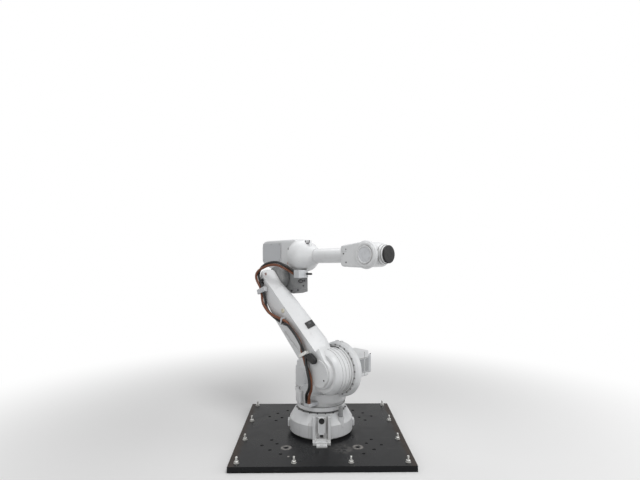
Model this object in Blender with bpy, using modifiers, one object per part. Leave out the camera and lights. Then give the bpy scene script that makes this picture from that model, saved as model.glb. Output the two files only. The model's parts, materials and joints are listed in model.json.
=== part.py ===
"""Six-axis industrial robot arm, bolted to a black steel floor plate.

Metres, +Z up. The origin is the middle of the plate's underside, on the first axis. +Y runs away from the
base's front. Everything that moves hangs under an empty on its own joint axis. In each of those frames
+X points to the arm's front, +Y to its left and +Z up, or along the lower arm.
"""

import math

import bmesh
import bpy
from mathutils import Matrix, Vector

# Clearances
SEAT_GAP = 0.0003
RUNNING_GAP = 0.0006

# Pose at rest, in degrees
ARM_TURN = -46.0
LOWER_ARM_LEAN = 42.5
FOREARM_RISE = 1.0

# Distances between the axes
AXIS_2_HEIGHT = 0.495
AXIS_2_FORWARD = 0.175
LOWER_ARM_LENGTH = 0.900
AXIS_4_RISE = 0.175
FOREARM_LENGTH = 0.960
FLANGE_REACH = 0.135

# Floor plate
PLATE_SIDE = 1.220
PLATE_THICKNESS = 0.040
PLATE_EDGE = 0.002

# Base casting
PLINTH_RADIUS = 0.205
PLINTH_HEIGHT = 0.016
BASE_RADIUS = 0.240
BASE_WALL_TOP = 0.110
BASE_TOP_RADIUS = 0.198
BASE_HEIGHT = 0.183
BASE_EDGE = 0.005
FRONT_BLOCK_WIDTH = 0.132
FRONT_BLOCK_REACH = 0.252
RIB_WIDTH = 0.020
CHANNEL_DEPTH = 0.030
CHANNEL_COVER_WIDTH = 0.058
CHANNEL_COVER_DEPTH = 0.018
CHANNEL_COVER_LOW = 0.052
COVER_HOLE_RADIUS = 0.0175
COVER_HOLE_DROP = 0.033
FOOT_WIDTH = 0.126
FOOT_REACH = 0.296
FOOT_HEIGHT = 0.018
TOE_WIDTH = 0.075
TOE_REACH = 0.338
TOE_HEIGHT = 0.012
LUG_REACH = 0.256
LUG_LOW = 0.035
LUG_HEIGHT = 0.055
LUG_WIDTH = 0.060
BEARING_RING_RADIUS = 0.172
BEARING_RING_HEIGHT = 0.012
STOP_POST_DISTANCE = 0.222
STOP_POST_AZIMUTH = -50.0
STOP_POST_RADIUS = 0.016
STOP_POST_HEIGHT = 0.076
STOP_BOSS_RADIUS = 0.022
STOP_BOSS_TOP = BASE_HEIGHT - 0.025
STOP_POST_ROOM = 0.006

# Connector box at the back of the base
CONNECTOR_BOX_WIDTH = 0.250
CONNECTOR_BOX_DEPTH = 0.078
CONNECTOR_BOX_LOW = 0.030
CONNECTOR_BOX_HEIGHT = 0.130
CONNECTOR_PANEL_MARGIN = 0.018
CONNECTOR_PANEL_THICKNESS = 0.006
SOCKET_RADIUS = 0.019
SOCKET_LENGTH = 0.024
SOCKET_PITCH = 0.062
SOCKET_COUNT = 3

# Shoulder frame
TURNTABLE_RADIUS = 0.186
TURNTABLE_HEIGHT = 0.030
NECK_RADIUS = 0.166
CRADLE_RADIUS = 0.172
HUB_BACK_RADIUS = 0.165
SWING_GAP = 0.012
CRADLE_HEIGHT = AXIS_2_HEIGHT - HUB_BACK_RADIUS - SWING_GAP
BELL_RADIUS = 0.204
BELL_NEAR = -0.010
BELL_FAR = 0.075
BELL_EDGE = 0.022
WEB_FRONT = 0.187
WEB_BACK = -0.165
WEB_BEND_HEIGHT = AXIS_2_HEIGHT - HUB_BACK_RADIUS
WEB_FRONT_DROP = 0.040
BELLY_RADIUS = 0.148
BELLY_FORWARD = 0.052
BELLY_LEFT = 0.012
BELLY_HEIGHT = 0.075
DECK_THICKNESS = 0.026

# First-axis motor, standing at the back of the frame
MOTOR_1_BACK = 0.255
MOTOR_1_LEFT = 0.062
MOTOR_1_SIDE = 0.112
MOTOR_1_HEIGHT = 0.178
MOTOR_1_CAP_SIDE = 0.094
MOTOR_1_CAP_HEIGHT = 0.040
MOTOR_EDGE = 0.014

# Cable bracket and gland on the frame's right side
BRACKET_START = 212.0
BRACKET_END = 262.0
BRACKET_REACH = 0.196
BRACKET_DROP = 0.014
BRACKET_HEIGHT = 0.098
GLAND_WIDTH = 0.058
GLAND_FAR = -0.130
GLAND_NEAR = -0.226
GLAND_HEIGHT = 0.026
GLAND_FORWARD = 0.076

# Second-axis gear unit and motor
GEAR_2_RADIUS = HUB_BACK_RADIUS + 0.009
GEAR_2_NEAR = -0.028
MOTOR_2_WIDTH = 0.150
MOTOR_2_TOP = 0.110
MOTOR_2_BOTTOM = -0.084
MOTOR_2_LENGTH = 0.205
MOTOR_2_CAP_WIDTH = 0.128
MOTOR_2_CAP_HEIGHT = 0.140
MOTOR_2_CAP_LENGTH = 0.042

# Lower arm
ARM_NEAR = -0.200
ARM_FAR = -0.066
ARM_EDGE = 0.024
HUB_NEAR = -0.168
HUB_FAR = -0.029
HUB_RADIUS = 0.150
HUB_COVER_RADIUS = 0.098
HUB_COVER_THICKNESS = 0.006
ARM_FOOT_RADIUS = 0.116
ELBOW_RADIUS = 0.098
ELBOW_FAR = -0.100
ELBOW_TAPER = 0.330
CREST_RADIUS = 0.058
CREST_HEIGHT = 0.040
ARM_FRONT_LOW = (0.130, 0.200)
ARM_FRONT_HIGH = (0.026, LOWER_ARM_LENGTH - 0.049)
ARM_BACK_HIGH = (-0.140, LOWER_ARM_LENGTH - 0.040)
ARM_BACK_MIDDLE = (-0.152, LOWER_ARM_LENGTH - 0.280)
ARM_BACK_LOW = (-0.122, 0.180)

# The broad slanted face at the arm's front right, from its edge on the right side, and the one behind
FLANK_LOW = (0.077, 0.131)
FLANK_HIGH = (-0.014, LOWER_ARM_LENGTH - 0.043)
FLANK_TURN = 31.5
BACK_FACE_NEAR = (-0.152, -0.150)
BACK_FACE_TURN = 34.0
PAD_WIDTH = 0.062
PAD_HEIGHT = 0.056
PAD_THICKNESS = 0.008
PAD_ACROSS = 0.090
PAD_ALONG = 0.220

# Upper arm housing
HOUSING_NEAR = -0.046
HOUSING_FAR = 0.135
HOUSING_BACK = -0.258
HOUSING_FRONT = 0.200
HOUSING_TOP = 0.315
HOUSING_BACK_LOW = 0.115
HOUSING_EDGE = 0.016
HOUSING_CORNER = 0.058
BARREL_RADIUS = 0.133
UNDERSIDE_START = (0.260, 0.062)
UNDERSIDE_SLOPE = 19.7
CONE_END = 0.392
FOREARM_RADIUS = 0.057
ELBOW_HUB_RADIUS = 0.118
SIDE_COVER_THICKNESS = 0.008
SIDE_COVER_BACK = HOUSING_BACK + 0.024
SIDE_COVER_FRONT = 0.004
SIDE_COVER_LOW = 0.132
SIDE_COVER_HIGH = 0.292
END_COVER_WIDTH = 0.130
END_COVER_HEIGHT = 0.140

# Third-axis gear ring, casing and motor
GEAR_3_RADIUS = 0.094
CASING_NEAR = -0.030
CASING_FAR = 0.105
CASING_EDGE = 0.012
CASING_TOP = 0.060
CASING_NOSE = 0.318
CASING_SIDE_TURN = 44.4
MOTOR_3_RADIUS = CASING_TOP - 0.003
MOTOR_3_LENGTH = 0.070
MOTOR_3_CAP_RADIUS = 0.052
MOTOR_3_CAP_LENGTH = 0.030

# Junction box for the harness at the elbow
JUNCTION_BACK = 0.200
JUNCTION_LENGTH = 0.118
JUNCTION_LOW = 0.004
JUNCTION_HEIGHT = 0.048
JUNCTION_NEAR = -0.130
CONNECTOR_PIN_RADIUS = 0.008
CONNECTOR_PIN_LENGTH = 0.055
CONNECTOR_PIN_SIDE = -0.045

# Forearm and wrist
WRIST_BLOCK_BACK = 0.729
WRIST_RADIUS = 0.100
WRIST_HALF_WIDTH = 0.100
WRIST_CHEEK = 0.0195
WRIST_SLOT_BACK = 0.148
WRIST_TOP = 0.072
WRIST_BOTTOM = -0.084
WRIST_CORNER = 0.028
WRIST_EDGE = 0.012
FAR_CHEEK_RADIUS = 0.060
FAR_CHEEK_THICKNESS = 0.0135
WRIST_COVER_RADIUS = 0.063
FAR_COVER_RADIUS = 0.048
WRIST_COVER_THICKNESS = 0.006
TILT_RADIUS = 0.088
TILT_BOSS_RADIUS = 0.052
TILT_SIDE_GAP = 0.005
TILT_NOSE = ((0.0755, 0.062), (0.066, 0.100), (0.062, 0.108), (0.060, 0.118))
TOOL_DISC_RADIUS = 0.062

# Cable harness: two cables side by side, and the clamps that hold them on the lower arm
CABLE_RADIUS = 0.0095
CABLE_PITCH = 0.0225
CABLE_STEP = 0.040
CABLE_PLANE = -0.222
CLAMP_NEAR = -0.238
LOWER_PAD = (0.034, 0.108)
LOWER_PAD_LENGTH = 0.092
LOWER_PAD_WIDTH = 0.050
METAL_CLAMP = (-0.017, 0.181)
METAL_CLAMP_TILT = 14.0
METAL_CLAMP_WIDTH = 0.084
METAL_CLAMP_HEIGHT = 0.026
MIDDLE_CLIP = (-0.052, LOWER_ARM_LENGTH - 0.392)
MIDDLE_CLIP_TILT = -33.0
MIDDLE_CLIP_WIDTH = 0.056
MIDDLE_CLIP_HEIGHT = 0.016
UPPER_BRACKET = (-0.090, LOWER_ARM_LENGTH - 0.054)
UPPER_BRACKET_TILT = 22.0
UPPER_BRACKET_WIDTH = 0.098
UPPER_BRACKET_HEIGHT = 0.040

ROUND_STEPS = 40
SMALL_STEPS = 20
BLOCK_REACH = 0.6


class Finish:
    """One material, made once and shared by the pieces that have it."""

    def __init__(self, name, colour, roughness, metallic=0.0):
        self.material = bpy.data.materials.new(name)
        self.material.use_nodes = True
        shader = self.material.node_tree.nodes["Principled BSDF"]
        shader.inputs["Base Color"].default_value = (*colour, 1.0)
        shader.inputs["Roughness"].default_value = roughness
        shader.inputs["Metallic"].default_value = metallic


def clear_scene():
    """Remove whatever objects the file opened with."""
    for item in list(bpy.data.objects):
        bpy.data.objects.remove(item, do_unlink=True)


def add_collection(name):
    """A new collection linked to the scene."""
    collection = bpy.data.collections.new(name)
    bpy.context.scene.collection.children.link(collection)
    return collection


clear_scene()
ROBOT = add_collection("robot_arm")
TOOLS = add_collection("cutters")

WHITE = Finish("white_paint", (0.74, 0.75, 0.76), 0.38)
GREY_COVER = Finish("grey_cover", (0.55, 0.56, 0.57), 0.45)
DARK_CASTING = Finish("dark_grey_casting", (0.20, 0.205, 0.21), 0.55)
PLATE_STEEL = Finish("black_plate_steel", (0.035, 0.035, 0.036), 0.32, 0.6)
BLACK_RUBBER = Finish("black_rubber", (0.02, 0.02, 0.021), 0.7)
BROWN_CABLE = Finish("brown_cable", (0.19, 0.075, 0.035), 0.45)
BLACK_CABLE = Finish("black_cable", (0.02, 0.018, 0.018), 0.42)
ZINC = Finish("zinc", (0.62, 0.62, 0.60), 0.35, 1.0)


def frame(name, parent, location, rotation=None):
    """An empty that carries a sub-assembly."""
    empty = bpy.data.objects.new(name, None)
    empty.empty_display_size = 0.1
    ROBOT.objects.link(empty)
    empty.parent = parent
    empty.matrix_parent_inverse = Matrix.Identity(4)
    empty.location = location
    if rotation is not None:
        empty.rotation_euler = rotation.to_euler()
    return empty


def add_mesh(name, mesh, parent, finish, matrix=None):
    """Link a mesh under its frame, as a piece or, with no finish, as a cutter."""
    piece = bpy.data.objects.new(name, mesh)
    if finish is None:
        TOOLS.objects.link(piece)
        piece.hide_render = True
        piece.display_type = "WIRE"
    else:
        ROBOT.objects.link(piece)
        piece.data.materials.append(finish.material)
    piece.parent = parent
    piece.matrix_parent_inverse = Matrix.Identity(4)
    piece.matrix_basis = matrix or Matrix.Identity(4)
    return piece


def finish_round(mesh):
    """Shade a mesh smooth, apart from its sharp edges."""
    mesh.shade_smooth()
    mesh.set_sharp_from_angle(angle=math.radians(35))


def box(name, low, high, parent, finish, edge=0.0, segments=2):
    """A box between two corners, with an optional bevel on all its edges."""
    low, high = Vector(low), Vector(high)
    size = high - low
    shape = bmesh.new()
    bmesh.ops.create_cube(shape, size=1.0)
    bmesh.ops.scale(shape, vec=size, verts=shape.verts)
    bmesh.ops.translate(shape, vec=(low + high) / 2, verts=shape.verts)
    mesh = bpy.data.meshes.new(name)
    shape.to_mesh(mesh)
    shape.free()
    piece = add_mesh(name, mesh, parent, finish)
    if edge:
        round_edges(piece, edge, segments)
    return piece


def round_edges(piece, width, segments=2, angle=40):
    """Bevel the sharp edges of a piece."""
    bevel = piece.modifiers.new("edges", "BEVEL")
    bevel.width = width
    bevel.segments = segments
    bevel.limit_method = "ANGLE"
    bevel.angle_limit = math.radians(angle)
    return bevel


def facing(axis):
    """The turn that carries local +Z onto the named axis."""
    return Vector((0, 0, 1)).rotation_difference(Vector(axis)).to_matrix().to_4x4()


def turned(name, profile, parent, finish, centre=(0, 0, 0), axis=(0, 0, 1), steps=ROUND_STEPS):
    """A solid of revolution from (radius, height) points, listed from the top of its axis to the bottom."""
    mesh = bpy.data.meshes.new(name)
    points = [(0.0, 0.0, profile[0][1])] + [(r, 0.0, h) for r, h in profile] + [(0.0, 0.0, profile[-1][1])]
    mesh.from_pydata(points, [(i, i + 1) for i in range(len(points) - 1)], [])
    piece = add_mesh(name, mesh, parent, finish, Matrix.Translation(centre) @ facing(axis))
    screw = piece.modifiers.new("turn", "SCREW")
    screw.steps = steps
    screw.render_steps = steps
    screw.use_merge_vertices = True
    screw.merge_threshold = 0.00005
    screw.use_normal_calculate = False
    return piece


def cylinder(name, radius, low, high, parent, finish, centre=(0, 0, 0), axis=(0, 0, 1), steps=SMALL_STEPS):
    """A cylinder from low to high along its axis."""
    return turned(name, [(radius, high), (radius, low)], parent, finish, centre, axis, steps)


def evaluated_mesh(item):
    """The mesh that an object shows with its modifiers, with its doubles merged."""
    bpy.context.view_layer.update()
    graph = bpy.context.evaluated_depsgraph_get()
    mesh = bpy.data.meshes.new_from_object(item.evaluated_get(graph))
    shape = bmesh.new()
    shape.from_mesh(mesh)
    bmesh.ops.remove_doubles(shape, verts=shape.verts, dist=0.00001)
    shape.to_mesh(mesh)
    shape.free()
    return mesh


def outline(name, points, low, high, parent, finish, upright=True):
    """A flat outline of given thickness. Upright ones lie in XZ and run from low to high along Y."""
    curve = bpy.data.curves.new(name, "CURVE")
    curve.dimensions = "2D"
    curve.fill_mode = "BOTH"
    curve.extrude = (high - low) / 2
    spline = curve.splines.new("POLY")
    spline.points.add(len(points) - 1)
    for target, (x, y) in zip(spline.points, points):
        target.co = (x, y, 0.0, 1.0)
    spline.use_cyclic_u = True
    source = bpy.data.objects.new(name + "_outline", curve)
    TOOLS.objects.link(source)
    mesh = evaluated_mesh(source)
    bpy.data.objects.remove(source, do_unlink=True)
    shape = bmesh.new()
    shape.from_mesh(mesh)
    bmesh.ops.dissolve_limit(shape, angle_limit=0.001, verts=shape.verts, edges=shape.edges)
    shape.to_mesh(mesh)
    shape.free()
    middle = (high + low) / 2
    if upright:
        place = Matrix.Translation((0, middle, 0)) @ Matrix.Rotation(math.radians(90), 4, "X")
    else:
        place = Matrix.Translation((0, 0, middle))
    return add_mesh(name, mesh, parent, finish, place)


def half_space(name, place, normal, parent):
    """A big block that begins at a plane, to cut a piece flat there."""
    block = box(name, (-BLOCK_REACH, -BLOCK_REACH, 0), (BLOCK_REACH, BLOCK_REACH, BLOCK_REACH), parent, None)
    block.matrix_basis = Matrix.Translation(place) @ facing(normal)
    return block


def arc(centre, radius, start, end, count):
    """Points on an arc, angles in degrees."""
    steps = [math.radians(start + (end - start) * i / (count - 1)) for i in range(count)]
    return [(centre[0] + radius * math.cos(a), centre[1] + radius * math.sin(a)) for a in steps]


def join(piece, *others):
    """Union other shapes into a piece. They go to the cutters' collection."""
    for other in others:
        combine(piece, other, "UNION")
    return piece


def cut(piece, *others):
    """Subtract other shapes from a piece."""
    for other in others:
        combine(piece, other, "DIFFERENCE")
    return piece


def combine(piece, other, operation):
    """Add one Boolean modifier."""
    boolean = piece.modifiers.new(operation.lower(), "BOOLEAN")
    boolean.operation = operation
    boolean.object = other


def smooth_route(points, step):
    """Points at about equal steps along a Catmull-Rom curve through a route."""
    points = [Vector(p) for p in points]
    ends = [points[0] * 2 - points[1]] + points + [points[-1] * 2 - points[-2]]
    fine = []
    for a, b, c, d in zip(ends, ends[1:], ends[2:], ends[3:]):
        for i in range(12):
            t = i / 12
            fine.append(
                0.5 * ((2 * b) + (c - a) * t + (2 * a - 5 * b + 4 * c - d) * t * t + (3 * b - a - 3 * c + d) * t ** 3)
            )
    fine.append(points[-1])
    lengths = [0.0]
    for a, b in zip(fine, fine[1:]):
        lengths.append(lengths[-1] + (b - a).length)
    count = max(3, round(lengths[-1] / step) + 1)
    route = []
    for i in range(count):
        wanted = lengths[-1] * i / (count - 1)
        place = max(1, next((k for k, v in enumerate(lengths) if v >= wanted), len(lengths) - 1))
        share = (wanted - lengths[place - 1]) / (lengths[place] - lengths[place - 1])
        route.append(fine[place - 1].lerp(fine[place], share))
    return route


def cable_mesh(name, route, radius):
    """The closed tube of a cable along a route."""
    curve = bpy.data.curves.new(name, "CURVE")
    curve.dimensions = "3D"
    curve.bevel_depth = radius
    curve.bevel_resolution = 2
    curve.use_fill_caps = True
    spline = curve.splines.new("POLY")
    spline.points.add(len(route) - 1)
    for target, place in zip(spline.points, route):
        target.co = (*place, 1.0)
    source = bpy.data.objects.new(name + "_path", curve)
    TOOLS.objects.link(source)
    mesh = evaluated_mesh(source)
    bpy.data.objects.remove(source, do_unlink=True)
    return mesh


def side_routes(points):
    """The routes of the two cables that run side by side along a middle line."""
    middle = [Vector(points[0])] + smooth_route(points[1:-1], CABLE_STEP) + [Vector(points[-1])]
    routes = ([], [])
    last = len(middle) - 1
    for i, place in enumerate(middle):
        ahead = middle[min(i + 1, last)] - middle[max(i - 1, 0)]
        if i < 2:
            ahead = middle[1] - middle[0]
        if i > last - 2:
            ahead = middle[last] - middle[last - 1]
        side = ahead.cross(Vector((0, 1, 0))).normalized() * CABLE_PITCH / 2
        routes[0].append(place - side)
        routes[1].append(place + side)
    return routes


def cable_pair(name, points, parent):
    """The brown and the black cable of one stretch of the harness."""
    brown, black = side_routes(points)
    for colour, route, finish in (("brown", brown, BROWN_CABLE), ("black", black, BLACK_CABLE)):
        label = f"{colour}_cable_{name}"
        piece = add_mesh(label, cable_mesh(label, route, CABLE_RADIUS), parent, finish)
        finish_round(piece.data)


def clamp_block(name, place, tilt, width, height, finish, edge=0.004):
    """A block on the lower arm's right side, turned to the cables that it holds."""
    block = box(
        name,
        (-width / 2, CLAMP_NEAR, -height / 2),
        (width / 2, ARM_NEAR - SEAT_GAP, height / 2),
        AXIS_2,
        finish,
        edge,
    )
    turn = Matrix.Rotation(math.radians(tilt), 4, "Y")
    block.matrix_basis = Matrix.Translation((place[0], 0, place[1])) @ turn
    return block


def leaning(x, z):
    """A place on the lower arm, in the first axis's frame."""
    lean = math.radians(LOWER_ARM_LEAN)
    return (
        AXIS_2_FORWARD + x * math.cos(lean) - z * math.sin(lean),
        CABLE_PLANE,
        AXIS_2_HEIGHT + x * math.sin(lean) + z * math.cos(lean),
    )


def from_elbow(x, z):
    """A place on the lower arm, in the third axis's frame."""
    bend = math.radians(LOWER_ARM_LEAN - FOREARM_RISE)
    rise = z - LOWER_ARM_LENGTH
    return (
        x * math.cos(bend) - rise * math.sin(bend),
        CABLE_PLANE,
        x * math.sin(bend) + rise * math.cos(bend),
    )


def past(place, tilt, distance):
    """The place that lies a distance along a clamp's own direction."""
    turn = math.radians(tilt)
    return (place[0] + distance * math.sin(turn), place[1] + distance * math.cos(turn))


# Frames, one on each joint axis
ORIGIN = frame("plate_top", None, (0, 0, PLATE_THICKNESS))
AXIS_1 = frame("axis_1", ORIGIN, (0, 0, 0), Matrix.Rotation(math.radians(ARM_TURN), 3, "Z"))
AXIS_2 = frame(
    "axis_2", AXIS_1, (AXIS_2_FORWARD, 0, AXIS_2_HEIGHT), Matrix.Rotation(math.radians(-LOWER_ARM_LEAN), 3, "Y")
)
AXIS_3 = frame(
    "axis_3", AXIS_2, (0, 0, LOWER_ARM_LENGTH), Matrix.Rotation(math.radians(LOWER_ARM_LEAN - FOREARM_RISE), 3, "Y")
)
AXIS_4 = frame("axis_4", AXIS_3, (0, 0, AXIS_4_RISE))
AXIS_5 = frame("axis_5", AXIS_4, (FOREARM_LENGTH, 0, 0))
AXIS_6 = frame("axis_6", AXIS_5, (0, 0, 0))


def build_plate():
    """The square floor plate."""
    half = PLATE_SIDE / 2
    box(
        "mounting_plate", (-half, -half, -PLATE_THICKNESS), (half, half, 0), ORIGIN, PLATE_STEEL, PLATE_EDGE, 1
    )


def build_base():
    """The round base casting with its front channel, feet and lugs."""
    low = SEAT_GAP
    body = turned(
        "base_casting",
        [
            (BASE_TOP_RADIUS - BASE_EDGE, BASE_HEIGHT),
            (BASE_TOP_RADIUS, BASE_HEIGHT - BASE_EDGE),
            (BASE_RADIUS, BASE_WALL_TOP),
            (BASE_RADIUS, PLINTH_HEIGHT + BASE_EDGE),
            (BASE_RADIUS - BASE_EDGE, PLINTH_HEIGHT),
            (PLINTH_RADIUS, PLINTH_HEIGHT),
            (PLINTH_RADIUS, low),
        ],
        ORIGIN,
        WHITE,
    )
    half = FRONT_BLOCK_WIDTH / 2
    inside = PLINTH_RADIUS - 0.06
    block_top = BASE_HEIGHT - 0.004
    front = box("front_block", (-half, -FRONT_BLOCK_REACH, low), (half, -inside, block_top), ORIGIN, None)
    back = box("back_block", (-half, inside, low), (half, FRONT_BLOCK_REACH - 0.002, block_top - 0.006), ORIGIN, None)
    feet = []
    for side, face in (("front", -1), ("back", 1)):
        for part, width, reach, height in (
            ("foot", FOOT_WIDTH, FOOT_REACH, FOOT_HEIGHT),
            ("toe", TOE_WIDTH, TOE_REACH, TOE_HEIGHT),
        ):
            ends = sorted((face * (inside + 0.01), face * reach))
            feet.append(
                box(f"{side}_{part}", (-width / 2, ends[0], low), (width / 2, ends[1], height), ORIGIN, None)
            )
    lugs = box(
        "jacking_lugs",
        (-LUG_REACH, -LUG_WIDTH / 2, LUG_LOW),
        (LUG_REACH, LUG_WIDTH / 2, LUG_LOW + LUG_HEIGHT),
        ORIGIN,
        None,
        0.008,
    )
    post = stop_post_place()
    boss = cylinder("stop_boss", STOP_BOSS_RADIUS, BASE_WALL_TOP - 0.02, STOP_BOSS_TOP, ORIGIN, None, post)
    join(body, front, back, *feet, lugs, boss)
    channel = box(
        "front_channel",
        (-half + RIB_WIDTH, -FRONT_BLOCK_REACH - 0.02, FOOT_HEIGHT + 0.004),
        (half - RIB_WIDTH, -FRONT_BLOCK_REACH + CHANNEL_DEPTH, BASE_HEIGHT + 0.02),
        ORIGIN,
        None,
    )
    seat = cylinder("post_seat", STOP_POST_RADIUS + 0.0025, STOP_BOSS_TOP, BASE_HEIGHT + 0.1, ORIGIN, None, post)
    cut(body, channel, seat)


def stop_post_place():
    """Where the stop post stands on the base's slope."""
    angle = math.radians(STOP_POST_AZIMUTH)
    return (STOP_POST_DISTANCE * math.cos(angle), STOP_POST_DISTANCE * math.sin(angle), 0)


def build_base_fittings():
    """What is bolted to the base: channel cover, stop post, bearing ring and connector box."""
    floor = -FRONT_BLOCK_REACH + CHANNEL_DEPTH
    cover = box(
        "channel_cover",
        (-CHANNEL_COVER_WIDTH / 2, floor - SEAT_GAP - CHANNEL_COVER_DEPTH, CHANNEL_COVER_LOW),
        (CHANNEL_COVER_WIDTH / 2, floor - SEAT_GAP, BASE_HEIGHT - 0.006),
        ORIGIN,
        WHITE,
        0.003,
    )
    hole = cylinder(
        "cover_hole", COVER_HOLE_RADIUS, -0.03, 0.012, ORIGIN, None,
        (0, floor - SEAT_GAP - CHANNEL_COVER_DEPTH, BASE_HEIGHT - COVER_HOLE_DROP), (0, 1, 0),
    )
    cut(cover, hole)
    foot = STOP_BOSS_TOP + SEAT_GAP
    turned(
        "stop_post",
        [
            (STOP_POST_RADIUS - 0.003, foot + STOP_POST_HEIGHT),
            (STOP_POST_RADIUS, foot + STOP_POST_HEIGHT - 0.003),
            (STOP_POST_RADIUS, foot),
        ],
        ORIGIN,
        WHITE,
        stop_post_place(),
        steps=SMALL_STEPS,
    )
    ring_low = BASE_HEIGHT + SEAT_GAP
    cylinder(
        "bearing_ring", BEARING_RING_RADIUS, ring_low, ring_low + BEARING_RING_HEIGHT, ORIGIN, DARK_CASTING,
        steps=ROUND_STEPS,
    )
    back = FRONT_BLOCK_REACH - 0.002 + SEAT_GAP
    half = CONNECTOR_BOX_WIDTH / 2
    box_top = CONNECTOR_BOX_LOW + CONNECTOR_BOX_HEIGHT
    box_end = back + CONNECTOR_BOX_DEPTH
    box("connector_box", (-half, back, CONNECTOR_BOX_LOW), (half, box_end, box_top), ORIGIN, WHITE, 0.006)
    panel_low = box_end + SEAT_GAP
    margin = CONNECTOR_PANEL_MARGIN
    panel = box(
        "connector_panel",
        (-half + margin, panel_low, CONNECTOR_BOX_LOW + margin),
        (half - margin, panel_low + CONNECTOR_PANEL_THICKNESS, box_top - margin),
        ORIGIN,
        GREY_COVER,
    )
    middle = (CONNECTOR_BOX_LOW + box_top) / 2
    for i in range(SOCKET_COUNT):
        x = (i - (SOCKET_COUNT - 1) / 2) * SOCKET_PITCH
        join(
            panel,
            cylinder(
                f"socket_{i + 1}", SOCKET_RADIUS, 0.001, SOCKET_LENGTH, ORIGIN, None, (x, panel_low, middle), (0, 1, 0)
            ),
        )


def shoulder_low():
    """Height of the turntable's underside."""
    return BASE_HEIGHT + SEAT_GAP + BEARING_RING_HEIGHT + RUNNING_GAP


def deck_low():
    """Height of the motor deck's underside, which passes over the stop post."""
    return STOP_BOSS_TOP + SEAT_GAP + STOP_POST_HEIGHT + STOP_POST_ROOM


def build_shoulder():
    """The frame that turns on the base and carries the second axis."""
    low = shoulder_low()
    top = low + TURNTABLE_HEIGHT
    frame_piece = turned(
        "shoulder_frame",
        [
            (CRADLE_RADIUS - 0.012, CRADLE_HEIGHT),
            (CRADLE_RADIUS, CRADLE_HEIGHT - 0.012),
            (NECK_RADIUS, top + 0.010),
            (TURNTABLE_RADIUS - 0.004, top),
            (TURNTABLE_RADIUS, top - 0.006),
            (TURNTABLE_RADIUS, low),
        ],
        AXIS_1,
        WHITE,
    )
    bell = turned(
        "bell",
        [
            (BELL_RADIUS - 0.044, BELL_FAR),
            (BELL_RADIUS - 0.012, BELL_FAR - 0.023),
            (BELL_RADIUS, BELL_FAR - 0.039),
            (BELL_RADIUS, BELL_NEAR + BELL_EDGE),
            (BELL_RADIUS - 0.004, BELL_NEAR + BELL_EDGE / 2),
            (BELL_RADIUS - 0.017, BELL_NEAR),
        ],
        AXIS_1,
        None,
        (AXIS_2_FORWARD, 0, AXIS_2_HEIGHT),
        (0, 1, 0),
    )
    centre = (AXIS_2_FORWARD, AXIS_2_HEIGHT)
    web_points = (
        [(WEB_BACK, low + 0.004), (NECK_RADIUS - 0.012, low + 0.004), (WEB_FRONT, WEB_BEND_HEIGHT - WEB_FRONT_DROP)]
        + arc(centre, BELL_RADIUS - 0.008, -60, 150, 17)
        + [(-0.075, AXIS_2_HEIGHT - 0.065), (WEB_BACK, WEB_BEND_HEIGHT)]
    )
    web = outline("web", web_points, BELL_NEAR + 0.018, BELL_FAR - 0.022, AXIS_1, None)
    round_edges(web, 0.012)
    belly_low = CRADLE_HEIGHT - BELLY_HEIGHT
    belly = turned(
        "belly",
        [
            (BELLY_RADIUS, CRADLE_HEIGHT - 0.001),
            (BELLY_RADIUS, belly_low + 0.019),
            (BELLY_RADIUS - 0.007, belly_low + 0.007),
            (BELLY_RADIUS - 0.024, belly_low),
        ],
        AXIS_1,
        None,
        (BELLY_FORWARD, BELLY_LEFT, 0),
    )
    deck_corner = MOTOR_1_BACK + MOTOR_1_SIDE / 2 + 0.012
    deck_left = MOTOR_1_LEFT + MOTOR_1_SIDE / 2 + 0.012
    deck_right = MOTOR_1_LEFT - MOTOR_1_SIDE / 2 - 0.012
    deck_points = [(0.0, -0.110), (-0.10, -0.100), (-deck_corner + 0.03, deck_right), (-deck_corner, deck_right + 0.03)]
    deck_points += [(-deck_corner, deck_left - 0.03), (-deck_corner + 0.03, deck_left), (0.0, 0.145)]
    deck = outline("deck", deck_points, deck_low(), deck_low() + DECK_THICKNESS, AXIS_1, None, upright=False)
    join(frame_piece, bell, web, belly, deck)
    return frame_piece


def build_first_motor():
    """The motor of the first axis, standing on the frame's deck."""
    low = deck_low() + DECK_THICKNESS + SEAT_GAP
    half = MOTOR_1_SIDE / 2
    top = low + MOTOR_1_HEIGHT
    motor = box(
        "axis_1_motor",
        (-MOTOR_1_BACK - half, MOTOR_1_LEFT - half, low),
        (-MOTOR_1_BACK + half, MOTOR_1_LEFT + half, top),
        AXIS_1,
        WHITE,
        MOTOR_EDGE,
        3,
    )
    half = MOTOR_1_CAP_SIDE / 2
    cap = box(
        "axis_1_motor_cap",
        (-MOTOR_1_BACK - half, MOTOR_1_LEFT - half, top - MOTOR_EDGE),
        (-MOTOR_1_BACK + half, MOTOR_1_LEFT + half, top + MOTOR_1_CAP_HEIGHT),
        AXIS_1,
        None,
        0.008,
    )
    join(motor, cap)


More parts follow.
